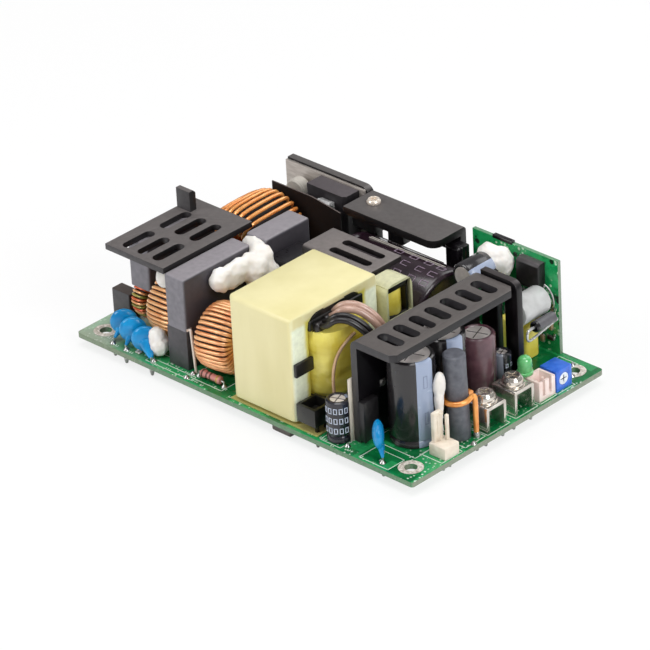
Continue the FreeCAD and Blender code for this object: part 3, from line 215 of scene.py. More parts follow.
def cream_tape():
    """Polyester tape over the core, creased here and there, paler on its right and yellow at the window."""
    material = finish_of("cream tape", (226, 216, 158), (237, 228, 176), 0.34, coat=0.2, grain=95.0,
                         stretch=(1, 1, 0.25), bump=0.2, bump_grain=220.0)
    by_facing(material, "X", (240, 247, 222), both_ways=False)
    within(material, (83.4, 0, 29.6), (85.5, 40, 36.0), (228, 220, 168), soft=0.0005, grain=-0.0008)
    for left, right in ((83.0, 84.0), (59.0, 61.0)):
        within(material, (left, 7.2, 3.0), (right, 29.4, 29.5), (216, 206, 92), soft=0.0005, grain=-0.001)
    return material


def green_tape():
    """Pale tape over the small core, with painted light: its sides that look along Y painted lighter and its top
    given a shade of its own; yellower inside its window.
    """
    material = finish_of("pale green tape", (206, 208, 162), (222, 223, 182), 0.28, coat=0.3, grain=110.0, bump=0.14,
                         bump_grain=260.0)
    by_facing(material, "Y", (230, 228, 182))
    by_facing(material, "Z", (214, 213, 176), both_ways=False)
    return within(material, (79.0, 36.6, 18.3), (86.2, 44.75, 27.5), (172, 168, 60), soft=0.0002)


def plain_sleeve(name, dark, light):
    return finish_of(name, dark, light, 0.25, coat=0.35, grain=260.0, bump=0.03, bump_grain=900.0)


def sleeve(name, dark, light, centre, towards, stripe, width=0.12, tilt=0):
    """Shrink sleeve with one pale stripe down the side that looks towards an angle."""
    material = plain_sleeve(name, dark, light)
    tree, place = place_on(material)
    centred = math_of(tree, "SUBTRACT", place, centre, kind="VectorMath")
    turn = (math.radians(tilt), 0, math.radians(180 - towards))
    facing = add(tree, "Mapping", {"Vector": centred, "Rotation": turn})
    round_about = add(tree, "TexGradient", {"Vector": facing}, "Fac", gradient_type="RADIAL")
    steps = add(tree, "ValToRGB", {"Fac": round_about})
    ramp = steps.node.color_ramp
    ramp.interpolation = "CONSTANT"
    ramp.elements[0].color = white
    ramp.elements[1].position = width / 2
    ramp.elements[1].color = black
    ramp.elements.new(1 - width / 2).color = white
    return covered(material, steps, paint(*stripe))


def silicone_rubber():
    """White silicone with the frayed, pulled surface that it sets with."""
    material = finish_of("silicone", (228, 223, 216), (246, 243, 239), 0.5, grain=150.0, stretch=(1.0, 1.0, 0.35),
                         bump=0.55, bump_grain=900.0)
    feed(shader_of(material), {
        "Subsurface Weight": 0.2, "Subsurface Radius": (0.002, 0.0017, 0.0014), "Subsurface Scale": 0.4})
    return material


def dark_metal(name, dark, light, top, roughness=0.4):
    """Black anodised plate: near black on upright faces, greyer where light lies on its top."""
    material = finish_of(name, dark, light, roughness, metal=0.25, grain=300.0, bump=0.05)
    return by_facing(material, "Z", top, both_ways=False)


def moulded(name, dark, light, top, right=None, roughness=0.42):
    """Moulded plastic with painted light: painted paler on top and, where asked, painted darker on the side that
    faces right, as shade.
    """
    material = finish_of(name, dark, light, roughness, grain=600.0, bump=0.06)
    if right:
        by_facing(material, "X", right, both_ways=False)
    return by_facing(material, "Z", top, both_ways=False)


mask = solder_mask()
mask_upright = upright_mask()
tin = finish_of("tin", (168, 168, 166), (206, 206, 204), 0.28, metal=1.0, grain=700.0, bump=0.08)
rough_tin = finish_of("rough tin", (176, 164, 148), (252, 245, 236), 0.42, metal=0.2, grain=1500.0, bump=0.6,
                      bump_grain=1800.0)
legend_ink = finish_of("legend ink", (196, 214, 198), (220, 232, 220), 0.5, grain=700.0)
black_plastic = finish_of("black plastic", (20, 18, 20), (30, 28, 30), 0.38, grain=700.0, bump=0.06)
black_gloss = finish_of("black gloss", (14, 12, 14), (24, 22, 26), 0.2, coat=0.4, bump=0.02)
relay_plastic = finish_of("relay plastic", (26, 24, 27), (38, 36, 40), 0.3, grain=600.0, bump=0.05)
# These moulded finishes carry painted light: paler tops, and painted shade on the sides that face right.
grey_box = moulded("grey box", (112, 110, 117), (128, 125, 132), (142, 137, 142), (66, 63, 69))
within(grey_box, (39.6, 2.0, -0.1), (43.4, 6.4, 12.8), (236, 222, 210), 0.35, soft=0.0001)
riser_plastic = moulded("riser plastic", (62, 60, 64), (76, 73, 77), (84, 80, 82), (52, 50, 54))
cover_plastic = moulded("cover plastic", (52, 49, 51), (66, 63, 65), (97, 92, 91), (16, 13, 15))
fuse_plastic = moulded("fuse plastic", (66, 64, 67), (80, 78, 80), (72, 63, 59), (50, 47, 48))
ferrite_dark = finish_of("ferrite dark", (15, 11, 11), (24, 20, 20), 0.6, grain=700.0, bump=0.12)
ferrite_grey = finish_of("ferrite grey", (80, 82, 90), (102, 104, 112), 0.5, grain=600.0, bump=0.1)
orange_enamel = enamel("orange enamel", (246, 150, 72), (255, 188, 112))
copper_enamel = enamel("copper enamel", (246, 160, 96), (255, 206, 144))
pink_enamel = enamel("pink enamel", (232, 148, 92), (255, 196, 136))
red_enamel = enamel("red enamel", (226, 84, 34), (246, 128, 66))
green_wire = enamel("green wire", (140, 136, 52), (184, 172, 78))
rod_enamel = enamel("rod enamel", (220, 130, 52), (248, 172, 84))
blue_glaze = finish_of("blue glaze", (4, 122, 184), (22, 156, 220), 0.16, coat=0.35, grain=220.0, bump=0.12,
                       bump_grain=500.0)
feed(shader_of(blue_glaze), {"Specular IOR Level": 0.3})
resistor_glaze = finish_of("resistor glaze", (198, 124, 118), (220, 150, 142), 0.3, coat=0.4)
band_brown = finish_of("band brown", (84, 44, 34), (104, 58, 46), 0.35)
band_gold = finish_of("band gold", (170, 140, 70), (192, 162, 88), 0.3, metal=0.5)
dark_plate = dark_metal("dark plate", (10, 8, 10), (22, 19, 21), (98, 94, 93))
black_plate = dark_metal("black plate", (9, 7, 10), (20, 17, 21), (66, 61, 62), 0.36)
switch_plate = dark_metal("switch plate", (34, 30, 31), (48, 44, 45), (128, 121, 119))
warm_plate = dark_metal("warm plate", (6, 4, 8), (14, 11, 16), (88, 83, 81))
# Painted light: the faces that look along Y are painted paler than the upright faces, as lit ends.
by_facing(warm_plate, "Y", (54, 52, 55), 0.6)
# A small near-white patch under the flange by the output can, with metal shine: a painted highlight.
within(warm_plate, (102.4, 14.6, 13.6), (103.4, 16.6, 15.6), (226, 222, 218), 0.9, soft=0.0001)
bright_sheet = finish_of("bright sheet", (170, 161, 154), (194, 186, 179), 0.38, metal=0.5, grain=240.0,
                         stretch=(1, 1, 6))
spring_steel = finish_of("spring steel", (196, 196, 196), (232, 232, 232), 0.26, metal=0.5)
nickel = finish_of("nickel", (186, 179, 170), (230, 223, 214), 0.18, metal=0.88, grain=300.0, bump=0.08)
screw_metal = finish_of("screw metal", (228, 214, 198), (248, 238, 226), 0.28, metal=0.5, grain=400.0)
rectifier_body = moulded("rectifier body", (30, 26, 29), (42, 38, 41), (80, 74, 77), (24, 21, 24), 0.5)
pale_disc = finish_of("pale disc", (170, 165, 156), (196, 190, 181), 0.5, grain=260.0, bump=0.2)
film = insulating_film()
tape = cream_tape()
tape_green = green_tape()
# Bright tape wound on in level turns, darker in the creases.
tape_yellow = finish_of("yellow tape", (228, 206, 64), (250, 236, 116), 0.3, coat=0.4, grain=95.0,
                        stretch=(1, 1, 2.6), bump=0.3, bump_grain=260.0)
pink_wire = finish_of("pink insulation", (172, 138, 122), (196, 162, 146), 0.26, coat=0.5, grain=260.0)
black_wire = finish_of("black insulation", (16, 11, 13), (26, 20, 22), 0.34, coat=0.3, grain=300.0)
beige_wire = finish_of("beige insulation", (196, 158, 122), (216, 182, 146), 0.3, coat=0.3)
nylon = finish_of("nylon", (222, 208, 190), (238, 228, 212), 0.42, grain=400.0, bump=0.05)
pink_nylon = finish_of("fan nylon", (232, 208, 200), (244, 228, 222), 0.4, grain=400.0, bump=0.05)
diode_brown = finish_of("diode brown", (78, 71, 68), (92, 84, 80), 0.45)
diode_grey = finish_of("diode grey", (78, 77, 81), (98, 97, 101), 0.4, coat=0.2)
chip_black = moulded("chip black", (18, 15, 17), (30, 26, 29), (78, 73, 75))
chip_tan = finish_of("chip tan", (150, 128, 98), (186, 162, 130), 0.45)
trimmer_blue = finish_of("trimmer blue", (30, 92, 204), (62, 122, 226), 0.32, coat=0.3)
# White rotor with the cross where the driver goes in painted dark: painted shade in the slot.
trimmer_white = finish_of("rotor white", (222, 230, 240), (242, 246, 250), 0.35, coat=0.2)
within(trimmer_white, (124.6, 58, 0), (125.2, 66, 6.4), (20, 34, 70), soft=0.00005)
capacitor_white = finish_of("capacitor white", (180, 181, 180), (204, 205, 205), 0.32, coat=0.3, grain=300.0)
can_metal = finish_of("can metal", (206, 198, 194), (244, 236, 232), 0.3, metal=0.35, grain=260.0, bump=0.05)
# Vent lines on the can lids are laid on as dark bars: painted shade in their grooves.
vent_dark = finish_of("vent dark", (70, 62, 60), (92, 82, 80), 0.4, metal=0.3)
mark_grey = finish_of("mark grey", (112, 122, 148), (124, 136, 162), 0.4)
mark_pale = finish_of("mark pale", (176, 186, 206), (204, 212, 226), 0.4)
mark_faint = finish_of("mark faint", (140, 122, 140), (158, 140, 158), 0.4)
silicone = silicone_rubber()
lens = finish_of("green lens", (96, 206, 120), (150, 238, 164), 0.1, coat=0.7, grain=300.0, bump=0.0)
feed(shader_of(lens), {"Transmission Weight": 0.35})
bobbin_black = finish_of("bobbin black", (14, 14, 12), (24, 23, 21), 0.3, grain=400.0, bump=0.05)

# ---------------------------------------------------------------- making pieces


def mode(name):
    bpy.ops.object.mode_set(mode=name)


def fresh():
    if bpy.context.mode != "OBJECT":
        mode("OBJECT")
    bpy.ops.object.select_all(action="DESELECT")


def apply_place():
    bpy.ops.object.transform_apply(location=True, rotation=True, scale=True)


def modify(piece, name, kind, applied=True, **settings):
    """Give the piece in hand a modifier, and apply it unless it is to stay live."""
    modifier = piece.modifiers.new(name, kind)
    for setting, value in settings.items():
        setattr(modifier, setting, value)
    if applied:
        bpy.ops.object.modifier_apply(modifier=modifier.name)


def only_finish(piece, finish):
    piece.data.materials.clear()
    piece.data.materials.append(finish)


def settle(name, finish, bevel=0.0, segments=3, smooth=38.0, outwards=False):
    """Finish the piece in hand: place into its mesh, rounded edges, smooth shading and material."""
    piece = bpy.context.object
    if bpy.context.mode != "OBJECT":
        mode("OBJECT")
    piece.name = name
    apply_place()
    if outwards:
        mode("EDIT")
        bpy.ops.mesh.select_all(action="SELECT")
        bpy.ops.mesh.normals_make_consistent(inside=False)
        mode("OBJECT")
    if bevel:
        modify(piece, "edges", "BEVEL", width=bevel * mm, segments=segments, limit_method="ANGLE")
    bpy.ops.object.shade_smooth_by_angle(angle=math.radians(smooth))
    only_finish(piece, finish)
    return piece


def cube(middle, size):
    fresh()
    bpy.ops.mesh.primitive_cube_add(size=1, location=middle, scale=size)


def box(name, low, high, finish, bevel=0.3, segments=3):
    low_place = at(*low)
    high_place = at(*high)
    cube((low_place + high_place) / 2, high_place - low_place)
    return settle(name, finish, bevel, segments)


def turn_to(direction):
    return Vector(upwards).rotation_difference(Vector(direction)).to_matrix().to_4x4()


def turned(name, profile, start, direction, finish, sides=56, smooth=38.0):
    """Extrude and scale a disc ring by ring along an axis: profile gives radius and distance in millimetres."""
    fresh()
    radius_before, height_before = profile[0]
    bpy.ops.mesh.primitive_circle_add(vertices=sides, radius=radius_before * mm, fill_type="NGON",
                                      location=(0, 0, height_before * mm), enter_editmode=True)
    bpy.ops.mesh.select_all(action="SELECT")
    for radius, height in profile[1:]:
        bpy.ops.mesh.extrude_region_move(TRANSFORM_OT_translate={"value": (0, 0, (height - height_before) * mm)})
        share = radius / radius_before
        bpy.ops.transform.resize(value=(share, share, 1), center_override=(0, 0, height * mm))
        radius_before, height_before = radius, height
    mode("OBJECT")
    piece = bpy.context.object
    piece.matrix_world = Matrix.Translation(at(*start)) @ turn_to(direction) @ piece.matrix_world
    return settle(name, finish, smooth=smooth, outwards=True)


def wire(name, places, radius, finish):
    """A round wire that follows control points on one smooth line."""
    fresh()
    bpy.ops.curve.primitive_nurbs_path_add(location=(0, 0, 0))
    line = bpy.context.object.data
    line.splines.clear()
    spline = line.splines.new("NURBS")
    spline.points.add(len(places) - 1)
    for control, place in zip(spline.points, places):
        control.co = (*at(*place), 1)
    spline.order_u = 3
    spline.use_endpoint_u = True
    spline.resolution_u = 8
    line.bevel_depth = radius * mm
    line.bevel_resolution = 3
    line.use_fill_caps = True
    bpy.ops.object.convert(target="MESH")
    return settle(name, finish, outwards=True, smooth=50)


def joined(name, parts):
    """Several pieces of one thing as one piece, each keeping its own finish."""
    fresh()
    for part in parts:
        part.select_set(True)
    bpy.context.view_layer.objects.active = parts[0]
    bpy.ops.object.join()
    piece = bpy.context.object
    piece.name = name
    return piece


def carried(piece, *nodes, body="supply"):
    """The piece rides on its body, and stands for the CAD nodes named."""
    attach(piece, body)
    if nodes:
        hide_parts(*nodes)
    return piece


def dressed(node, finish, bevel):
    """A node whose shape is right: its edges are broken and it gets its finish."""
    piece = cad[node]
    modify(piece, "weld", "WELD", False, merge_threshold=0.000002)
    modify(piece, "flat faces", "DECIMATE", False, decimate_type="DISSOLVE", angle_limit=math.radians(0.6))
    if bevel:
        modify(piece, "edges", "BEVEL", False, width=bevel * mm, segments=2, limit_method="ANGLE",
               angle_limit=math.radians(28.0))
    modify(piece, "creases", "EDGE_SPLIT", False, split_angle=math.radians(40))
    for face in piece.data.polygons:
        face.use_smooth = True
    only_finish(piece, finish)


def swung(piece, place, angle, axis):
    """Turn a piece made at the board's corner about an axis there, then take it to its place."""
    turn = Matrix.Rotation(math.radians(angle), 4, axis)
    piece.data.transform(Matrix.Translation(at(*place)) @ turn @ Matrix.Translation(-at(0, 0, 0)))
    return piece


# ---------------------------------------------------------------- the board


def solder_blob(x, y):
    """A small bright cone of solder round a lead on the top of the board."""
    radius, height = 0.9, 0.8
    return turned("blob", [(radius, 0), (radius * 0.92, height * 0.2), (radius * 0.5, height * 0.7), (0.25, height)],
                  (x, y, 0), upwards, tin, sides=16)


def board_pads_and_legend():
    """Rough tin round the mounting holes, solder round the leads, and the outlines printed on the board."""
    rings = []
    for x in (hole_inset, board_length - hole_inset):
        for y in (hole_inset, board_width - hole_inset):
            fresh()
            bpy.ops.mesh.primitive_circle_add(vertices=48, radius=1.78 * mm, fill_type="NOTHING",
                                              location=at(x, y, 0.03), enter_editmode=True)
            bpy.ops.mesh.extrude_edges_move()
            bpy.ops.transform.resize(value=(1.95, 1.95, 1), center_override=at(x, y, 0.03))
            rings.append(settle("ring", rough_tin, outwards=True))
    carried(joined("mounting_rings", rings))
    line_width, ink_height = 0.22, 0.035
    outlines = [(26.0, 1.0, 44.0, 3.2), (42.2, 2.2, 54.5, 22.6), (19.0, 6.4, 31.6, 28.2), (92.6, 0.9, 100.2, 8.6),
                (103.6, 9.6, 119.2, 25.2), (118.8, 12.2, 126.4, 20.4), (115.8, 21.9, 125.9, 30.0),
                (116.4, 30.4, 126.2, 39.4), (116.4, 41.6, 126.2, 50.6), (118.8, 51.3, 126.3, 58.2),
                (119.0, 58.3, 126.3, 65.4), (107.0, 0.8, 117.6, 7.4), (0.4, 12.6, 9.0, 18.4),
                (113.0, 66.5, 120.0, 74.0)]
    lines = []
    for left, front, right, back in outlines:
        for low, high in (((left, front), (right, front + line_width)), ((left, back - line_width), (right, back)),
                          ((left, front), (left + line_width, back)), ((right - line_width, front), (right, back))):
            lines.append(box("line", (*low, 0.0), (*high, ink_height), legend_ink, 0))
    for number in range(22):
        x = 9.0 + number * 4.9 + random.uniform(-0.9, 0.9)
        y = random.uniform(0.7, 1.3) if number % 3 else random.uniform(2.6, 3.4)
        ticks = [(x + tick * 0.75, x + tick * 0.75 + line_width, y + 0.8) for tick in range(random.randint(2, 4))]
        for left, right, back in ticks + [(x, x + 0.9, y + 0.2)]:
            lines.append(box("tick", (left, y, 0), (right, back, ink_height), legend_ink, 0))
    carried(joined("printed_outlines", lines))
    blobs = [solder_blob(x, y) for x, y in (
        (12.5, 1.9), (18.0, 1.7), (28.4, 2.2), (41.8, 4.0), (41.9, 1.4), (113.9, 2.6), (119.2, 31.6), (124.2, 28.3),
        (126.0, 25.0), (100.9, 3.0), (43.8, 4.4), (53.4, 4.4), (15.4, 6.2), (20.6, 4.4), (9.0, 12.4), (118.4, 60.4),
        (118.6, 68.6), (122.8, 68.0), (119.0, 72.6), (7.6, 62.0), (4.0, 48.0))]
    blobs.append(box("blob", (20.9, 2.1, 0), (22.7, 3.5, 0.4), rough_tin, 0.2))
    carried(joined("solder_on_top", blobs))


# ---------------------------------------------------------------- wound rings


def wire_turn(inner, outer, half_width, radius, finish):
    """One turn round the ring section, in the x-z plane."""
    fresh()
    bpy.ops.curve.primitive_nurbs_circle_add(radius=1.0, location=(0, 0, 0))
    line = bpy.context.object.data
    spline = line.splines[0]
    middle = (inner + outer) / 2
    corners = [(outer, 0), (outer, half_width), (middle, half_width), (inner, half_width),
               (inner, 0), (inner, -half_width), (middle, -half_width), (outer, -half_width)]
    for control, (across, up) in zip(spline.points, corners):
        corner = abs(abs(up) - half_width) < 1e-9 and abs(across - middle) > 1e-9
        control.co = (across * mm, 0, up * mm, 1.6 if corner else 1.0)
    spline.use_bezier_u = False
    spline.order_u = 4
    spline.resolution_u = 5
    line.bevel_depth = radius * mm
    line.bevel_resolution = 2
    bpy.ops.object.convert(target="MESH")
    return settle("turn", finish, outwards=True, smooth=60)


def wound_ring(name, node, place, lift, axis, ring, finishes, yaw=0.0, wander=0.03):
    """Turns of round wire side by side over a ring core, each a copy of one turn."""
    inner, outer, width, thickness, turns, gap = ring
    radius = thickness / 2
    first = wire_turn(inner - radius - 0.1, outer + radius, width / 2 + radius, radius, finishes[0])
    centre = at(*place, lift + outer + thickness)
    stand = Matrix.Rotation(math.radians(yaw), 4, "Z") @ turn_to(axis)
    top = 90.0 if axis[1] else 0.0
    step = (360 - 2 * gap) / turns
    copies = []
    for number in range(turns):
        half = number // ((turns + 1) // 2) if gap else 0
        angle = top + gap / 2 + (number + 0.5) * step + half * gap + random.uniform(-0.25, 0.25)
        turn = first.copy()
        turn.data = first.data.copy()
        bpy.context.collection.objects.link(turn)
        wobble = Matrix.Rotation(random.uniform(-wander, wander), 4, "X")
        lean = Matrix.Rotation(math.radians(step * 0.18), 4, "X")
        spot = Matrix.Rotation(math.radians(angle), 4, "Z") @ wobble @ lean
        turn.matrix_world = Matrix.Translation(centre) @ stand @ spot
        only_finish(turn, finishes[number % len(finishes)])
        copies.append(turn)
    bpy.data.objects.remove(first)
    piece = joined(name, copies)
    apply_place()
    return carried(piece, node)


# ---------------------------------------------------------------- capacitors


def electrolytic(name, place, radius, height, finish):
    """A sleeved can: turned-in sleeve at the top, bare metal lid with its vent lines, groove at the base."""
    x, y = place
    sleeve_line = [(radius - 0.5, 0), (radius, 0.35), (radius, 1.5), (radius - 0.4, 2.1), (radius, 2.7),
                   (radius, height - 0.9), (radius - 0.15, height - 0.35), (radius - 0.6, height - 0.02),
                   (radius - 1.15, height - 0.1), (radius - 1.3, height - 0.35)]
    lid_line = [(radius - 1.32, height - 0.6), (radius - 1.32, height - 0.32), (0.4, height - 0.28)]
    parts = [turned("sleeve", sleeve_line, (x, y, 0), upwards, finish),
             turned("lid", lid_line, (x, y, 0), upwards, can_metal, sides=48)]
    middle = at(x, y, 0)
    # Two dark bars across the lid for its vent lines: painted shade in the grooves.
    for turn in (20, 110):
        groove = box("groove", (x - radius * 0.62, y - 0.16, height - 0.4),
                             (x + radius * 0.62, y + 0.16, height - 0.24), vent_dark, 0.03, 1)
        groove.data.transform(Matrix.Translation(middle) @ Matrix.Rotation(math.radians(turn), 4, "Z")
                              @ Matrix.Translation(-middle))
        parts.append(groove)
    return joined(name, parts)


def printed_marks(x, y, radius, towards, heights, finish, across=0.75, tall=3.6, line=0.16):
    """Small outlined bars printed on the side of a can, one above the other."""
    marks = []
    inner, outer = radius - 0.3, radius + 0.04
    for z in heights:
        for side in (-across, across):
            marks.append(box("mark", (inner, side - line / 2, z), (outer, side + line / 2, z + tall), finish, 0))
        for end in (0, tall - line):
            marks.append(box("mark", (inner, -across, z + end), (outer, across, z + end + line), finish, 0))
    return swung(joined("printed_marks", marks), (x, y, 0), towards, "Z")


def dipped_disc(place, height, turn, legs):
    """A disc dipped in glaze that runs down its two legs."""
    radius, thickness = 4.0, 3.3
    centre = at(*place, height)
    fresh()
    bpy.ops.mesh.primitive_uv_sphere_add(segments=40, ring_count=24, radius=1, location=(0, 0, 0))
    disc = bpy.context.object
    disc.scale = (radius * mm, thickness / 2 * mm, radius * mm)
    disc.rotation_euler = (0, 0, math.radians(turn - 90) + math.pi / 2)
    disc.location = centre
    apply_place()
    parts = [disc]
    for x, y, *width in legs:
        foot = at(x, y, 1.0)
        root = centre + (foot - centre) * (0.2 if width else 0.42)
        along = foot - root
        fresh()
        bpy.ops.mesh.primitive_cone_add(vertices=20, radius1=(width[0] if width else 1.0) * mm,
                                        radius2=(0.62 if width else 0.42) * mm, depth=along.length,
                                        location=(root + foot) / 2)
        leg = bpy.context.object
        leg.rotation_euler = Vector(upwards).rotation_difference(along).to_euler()
        apply_place()
        parts.append(leg)
    piece = joined("disc", parts)
    modify(piece, "one skin", "REMESH", mode="VOXEL", voxel_size=0.2 * mm)
    modify(piece, "soften", "SMOOTH", factor=0.6, iterations=10)
    ends = [settle("disc", blue_glaze, smooth=80)]
    for x, y, *width in legs:
        ends.append(turned("leg", [(0.3, 0), (0.3, 1.4)], (x, y, 0), upwards, tin, sides=12))
    return joined("disc", ends)


def displaced(piece, title, grain, strength, middle):
    """Push the surface in and out by a cloud pattern."""
    clouds = bpy.data.textures.new(title, "CLOUDS")
    clouds.noise_scale = grain
    modify(piece, title, "DISPLACE", texture=clouds, strength=strength, mid_level=middle)


def silicone_lump(blobs, voxel=0.4, waves=0.0011, frays=0.0004):
    """Squeezed silicone: overlapping balls under one uneven skin with small frays."""
    parts = []
    for x, y, z, *radii in blobs:
        fresh()
        bpy.ops.mesh.primitive_uv_sphere_add(segments=24, ring_count=16, radius=1, location=at(x, y, z),
                                             scale=[radius * mm for radius in radii])
        apply_place()
        parts.append(bpy.context.object)
    piece = joined("dab", parts)
    modify(piece, "one skin", "REMESH", mode="VOXEL", voxel_size=voxel * mm)
    modify(piece, "melt", "SMOOTH", iterations=14)
    displaced(piece, "silicone waves", 0.0042, waves, 0.5)
    displaced(piece, "silicone frays", 0.0011, frays, 0.5)
    modify(piece, "soften", "SMOOTH", iterations=2)
    return settle("dab", silicone, smooth=80)


# ---------------------------------------------------------------- camera, light and floor


def camera():
    """The camera that took the photograph, fitted to the edges and holes of the board."""
    azimuth, elevation, roll = (math.radians(angle) for angle in (45.3858, 29.4954, -3.2187))
    distance, aside, lifted = 1.3091214, -2.8206, -5.7789
    back = Vector((math.sin(azimuth) * math.cos(elevation), -math.cos(azimuth) * math.cos(elevation),
                   math.sin(elevation)))
    right = (-back).cross(Vector(upwards)).normalized()
    up = right.cross(-back).normalized()
    right_rolled = right * math.cos(roll) + up * math.sin(roll)
    up_rolled = up * math.cos(roll) - right * math.sin(roll)
    target = at(board_length / 2, board_width / 2, 15) + (right_rolled * aside + up_rolled * lifted) * mm
    lens = bpy.data.cameras.new("camera")
    lens.sensor_width = 36
    lens.lens = 266.05
    lens.shift_x = 0.0015
    lens.shift_y = -0.0019
    lens.clip_start = 0.05
    eye = bpy.data.objects.new("camera", lens)
    bpy.context.scene.collection.objects.link(eye)
    stand = Matrix((right_rolled, up_rolled, back)).transposed().to_4x4()
    stand.translation = target + back * distance
    eye.matrix_world = stand
    bpy.context.scene.camera = eye


def lamp(name, place, width, power):
    light = bpy.data.lights.new(name, "AREA")
    light.size = width
    light.energy = power
    holder = bpy.data.objects.new(name, light)
    bpy.context.scene.collection.objects.link(holder)
    holder.location = place
    holder.rotation_euler = (Vector((0, 0, 0.015)) - Vector(place)).to_track_quat("-Z", "Y").to_euler()


def studio():
    """A white surround that the camera sees brighter than it lights, four soft lamps and a pale floor."""
    world = bpy.data.worlds.new("studio")
    bpy.context.scene.world = world
    world.use_nodes = True
    tree = world.node_tree
    light_given, light_seen, floor_glow = 0.32, 1.0, 0.78
    path = add(tree, "LightPath").node.outputs
    seen = math_of(tree, "MAXIMUM", path["Is Camera Ray"], path["Is Transmission Ray"])
    feed(tree.nodes["Background"], {"Color": white, "Strength": ranged(tree, seen, 0, 1, light_given, light_seen)})
    lamp("top", (0.1, -0.1, 1.3), 0.8, 7.4)
    lamp("left", (-0.5, -0.85, 0.7), 0.5, 4.3)
    lamp("right", (0.95, -0.1, 0.6), 0.5, 5.6)
    lamp("back", (0.1, 0.9, 0.7), 0.7, 3.0)
    fresh()
    bpy.ops.mesh.primitive_plane_add(size=8, location=(0, 0, (-lead_end_drop - 0.02) * mm))
    floor = bpy.context.object
    floor.name = "floor"
    material = bpy.data.materials.new("pale floor")
    material.use_nodes = True
    tree = material.node_tree
    feed(shader_of(material), {"Base Color": (0.9, 0.9, 0.9, 1), "Roughness": 0.7})
    share = math_of(tree, "MULTIPLY", add(tree, "LightPath", out="Is Camera Ray"), floor_glow)
    glow = add(tree, "Emission", {"Color": white})
    blend = add(tree, "MixShader", {"Fac": share, 1: shader_of(material).outputs["BSDF"], 2: glow})
    feed(tree.nodes["Material Output"], {"Surface": blend})
    floor.data.materials.append(material)
    bpy.context.scene.view_settings.view_transform = "Standard"


# ---------------------------------------------------------------- nodes that keep their CAD shape

kept = [
    ("circuit_board", mask, 0.12), ("solder_joints", tin, 0), ("underside_diode", diode_brown, 0.2),
    ("x_capacitor_front", grey_box, 0), ("x_capacitor_rear", grey_box, 0), ("film_capacitor", grey_box, 0),
    ("capacitor_risers", riser_plastic, 0.2), ("slotted_cover", cover_plastic, 0.18), ("fuse", fuse_plastic, 0.25),
    ("common_mode_core", ferrite_dark, 0.4), ("input_choke_core", ferrite_dark, 0.3),
    ("line_choke_core", ferrite_dark, 0.4), ("boost_choke_core", ferrite_dark, 0.4),
    ("boost_choke_base", black_plastic, 0.15), ("relay", relay_plastic, 0), ("primary_heat_sink", dark_plate, 0.25),
    ("heat_spreader", bright_sheet, 0.1), ("bridge_rectifier", rectifier_body, 0.2),
    ("rectifier_clip", spring_steel, 0.08), ("flange_screw", screw_metal, 0.12),
    ("power_transistors", black_plastic, 0.25), ("boost_diode", black_gloss, 0.3),
    ("switch_heat_sink", switch_plate, 0.2), ("transformer_core", tape, 0.5),
    ("transformer_bobbin", bobbin_black, 0.2), ("core_clip", black_plastic, 0.25),
    ("output_heat_sink", warm_plate, 0.2), ("end_heat_sink", black_plate, 0.2), ("screw_terminals", nickel, 0.15),
    ("terminal_screws", nickel, 0.4), ("fan_connector", pink_nylon, 0.12), ("trimmer_body", trimmer_blue, 0.2),
    ("trimmer_rotor", trimmer_white, 0.08), ("control_board", mask_upright, 0.06),
    ("control_connector", chip_black, 0.2)]


def rings_and_discs():
    """The four wound rings, and the disc capacitors dipped in blue glaze."""
    wound_ring("common_mode_wire", "common_mode_windings", (25.25, 17.0), 0.3, along_x,
               (4.6, 8.8, 9.0, 1.08, 36, 20.0), [copper_enamel])
    wound_ring("input_choke_wire", "input_choke_winding", (10.4, 19.9), 0.1, along_x,
               (2.9, 5.9, 3.6, 0.8, 34, 6.0), [red_enamel, copper_enamel, green_wire])
    wound_ring("line_choke_wire", "line_choke_winding", (48.1, 12.3), 0.3, along_x,
               (4.4, 8.7, 9.6, 1.1, 38, 0.0), [pink_enamel], yaw=8.0)
    wound_ring("boost_choke_wire", "boost_choke_winding", (21.2, 51.3), 2.9, along_y,
               (5.4, 11.2, 17.4, 1.14, 33, 0.0), [orange_enamel], wander=0.012)
    discs = [dipped_disc((12.6, 6.6), 4.9, 45, [(12.2, 2.8), (15.4, 6.2)]),
             dipped_disc((17.8, 5.0), 4.9, 45, [(17.6, 1.9), (20.6, 4.4)]),
             dipped_disc((23.3, 4.3), 4.3, 45, [(28.0, 1.6, 2.3), (25.6, 6.0)]),
             dipped_disc((110.9, 4.6), 6.8, 135, [(113.7, 3.1), (110.9, 6.4)])]
    carried(joined("dipped_discs", discs), "disc_capacitors")


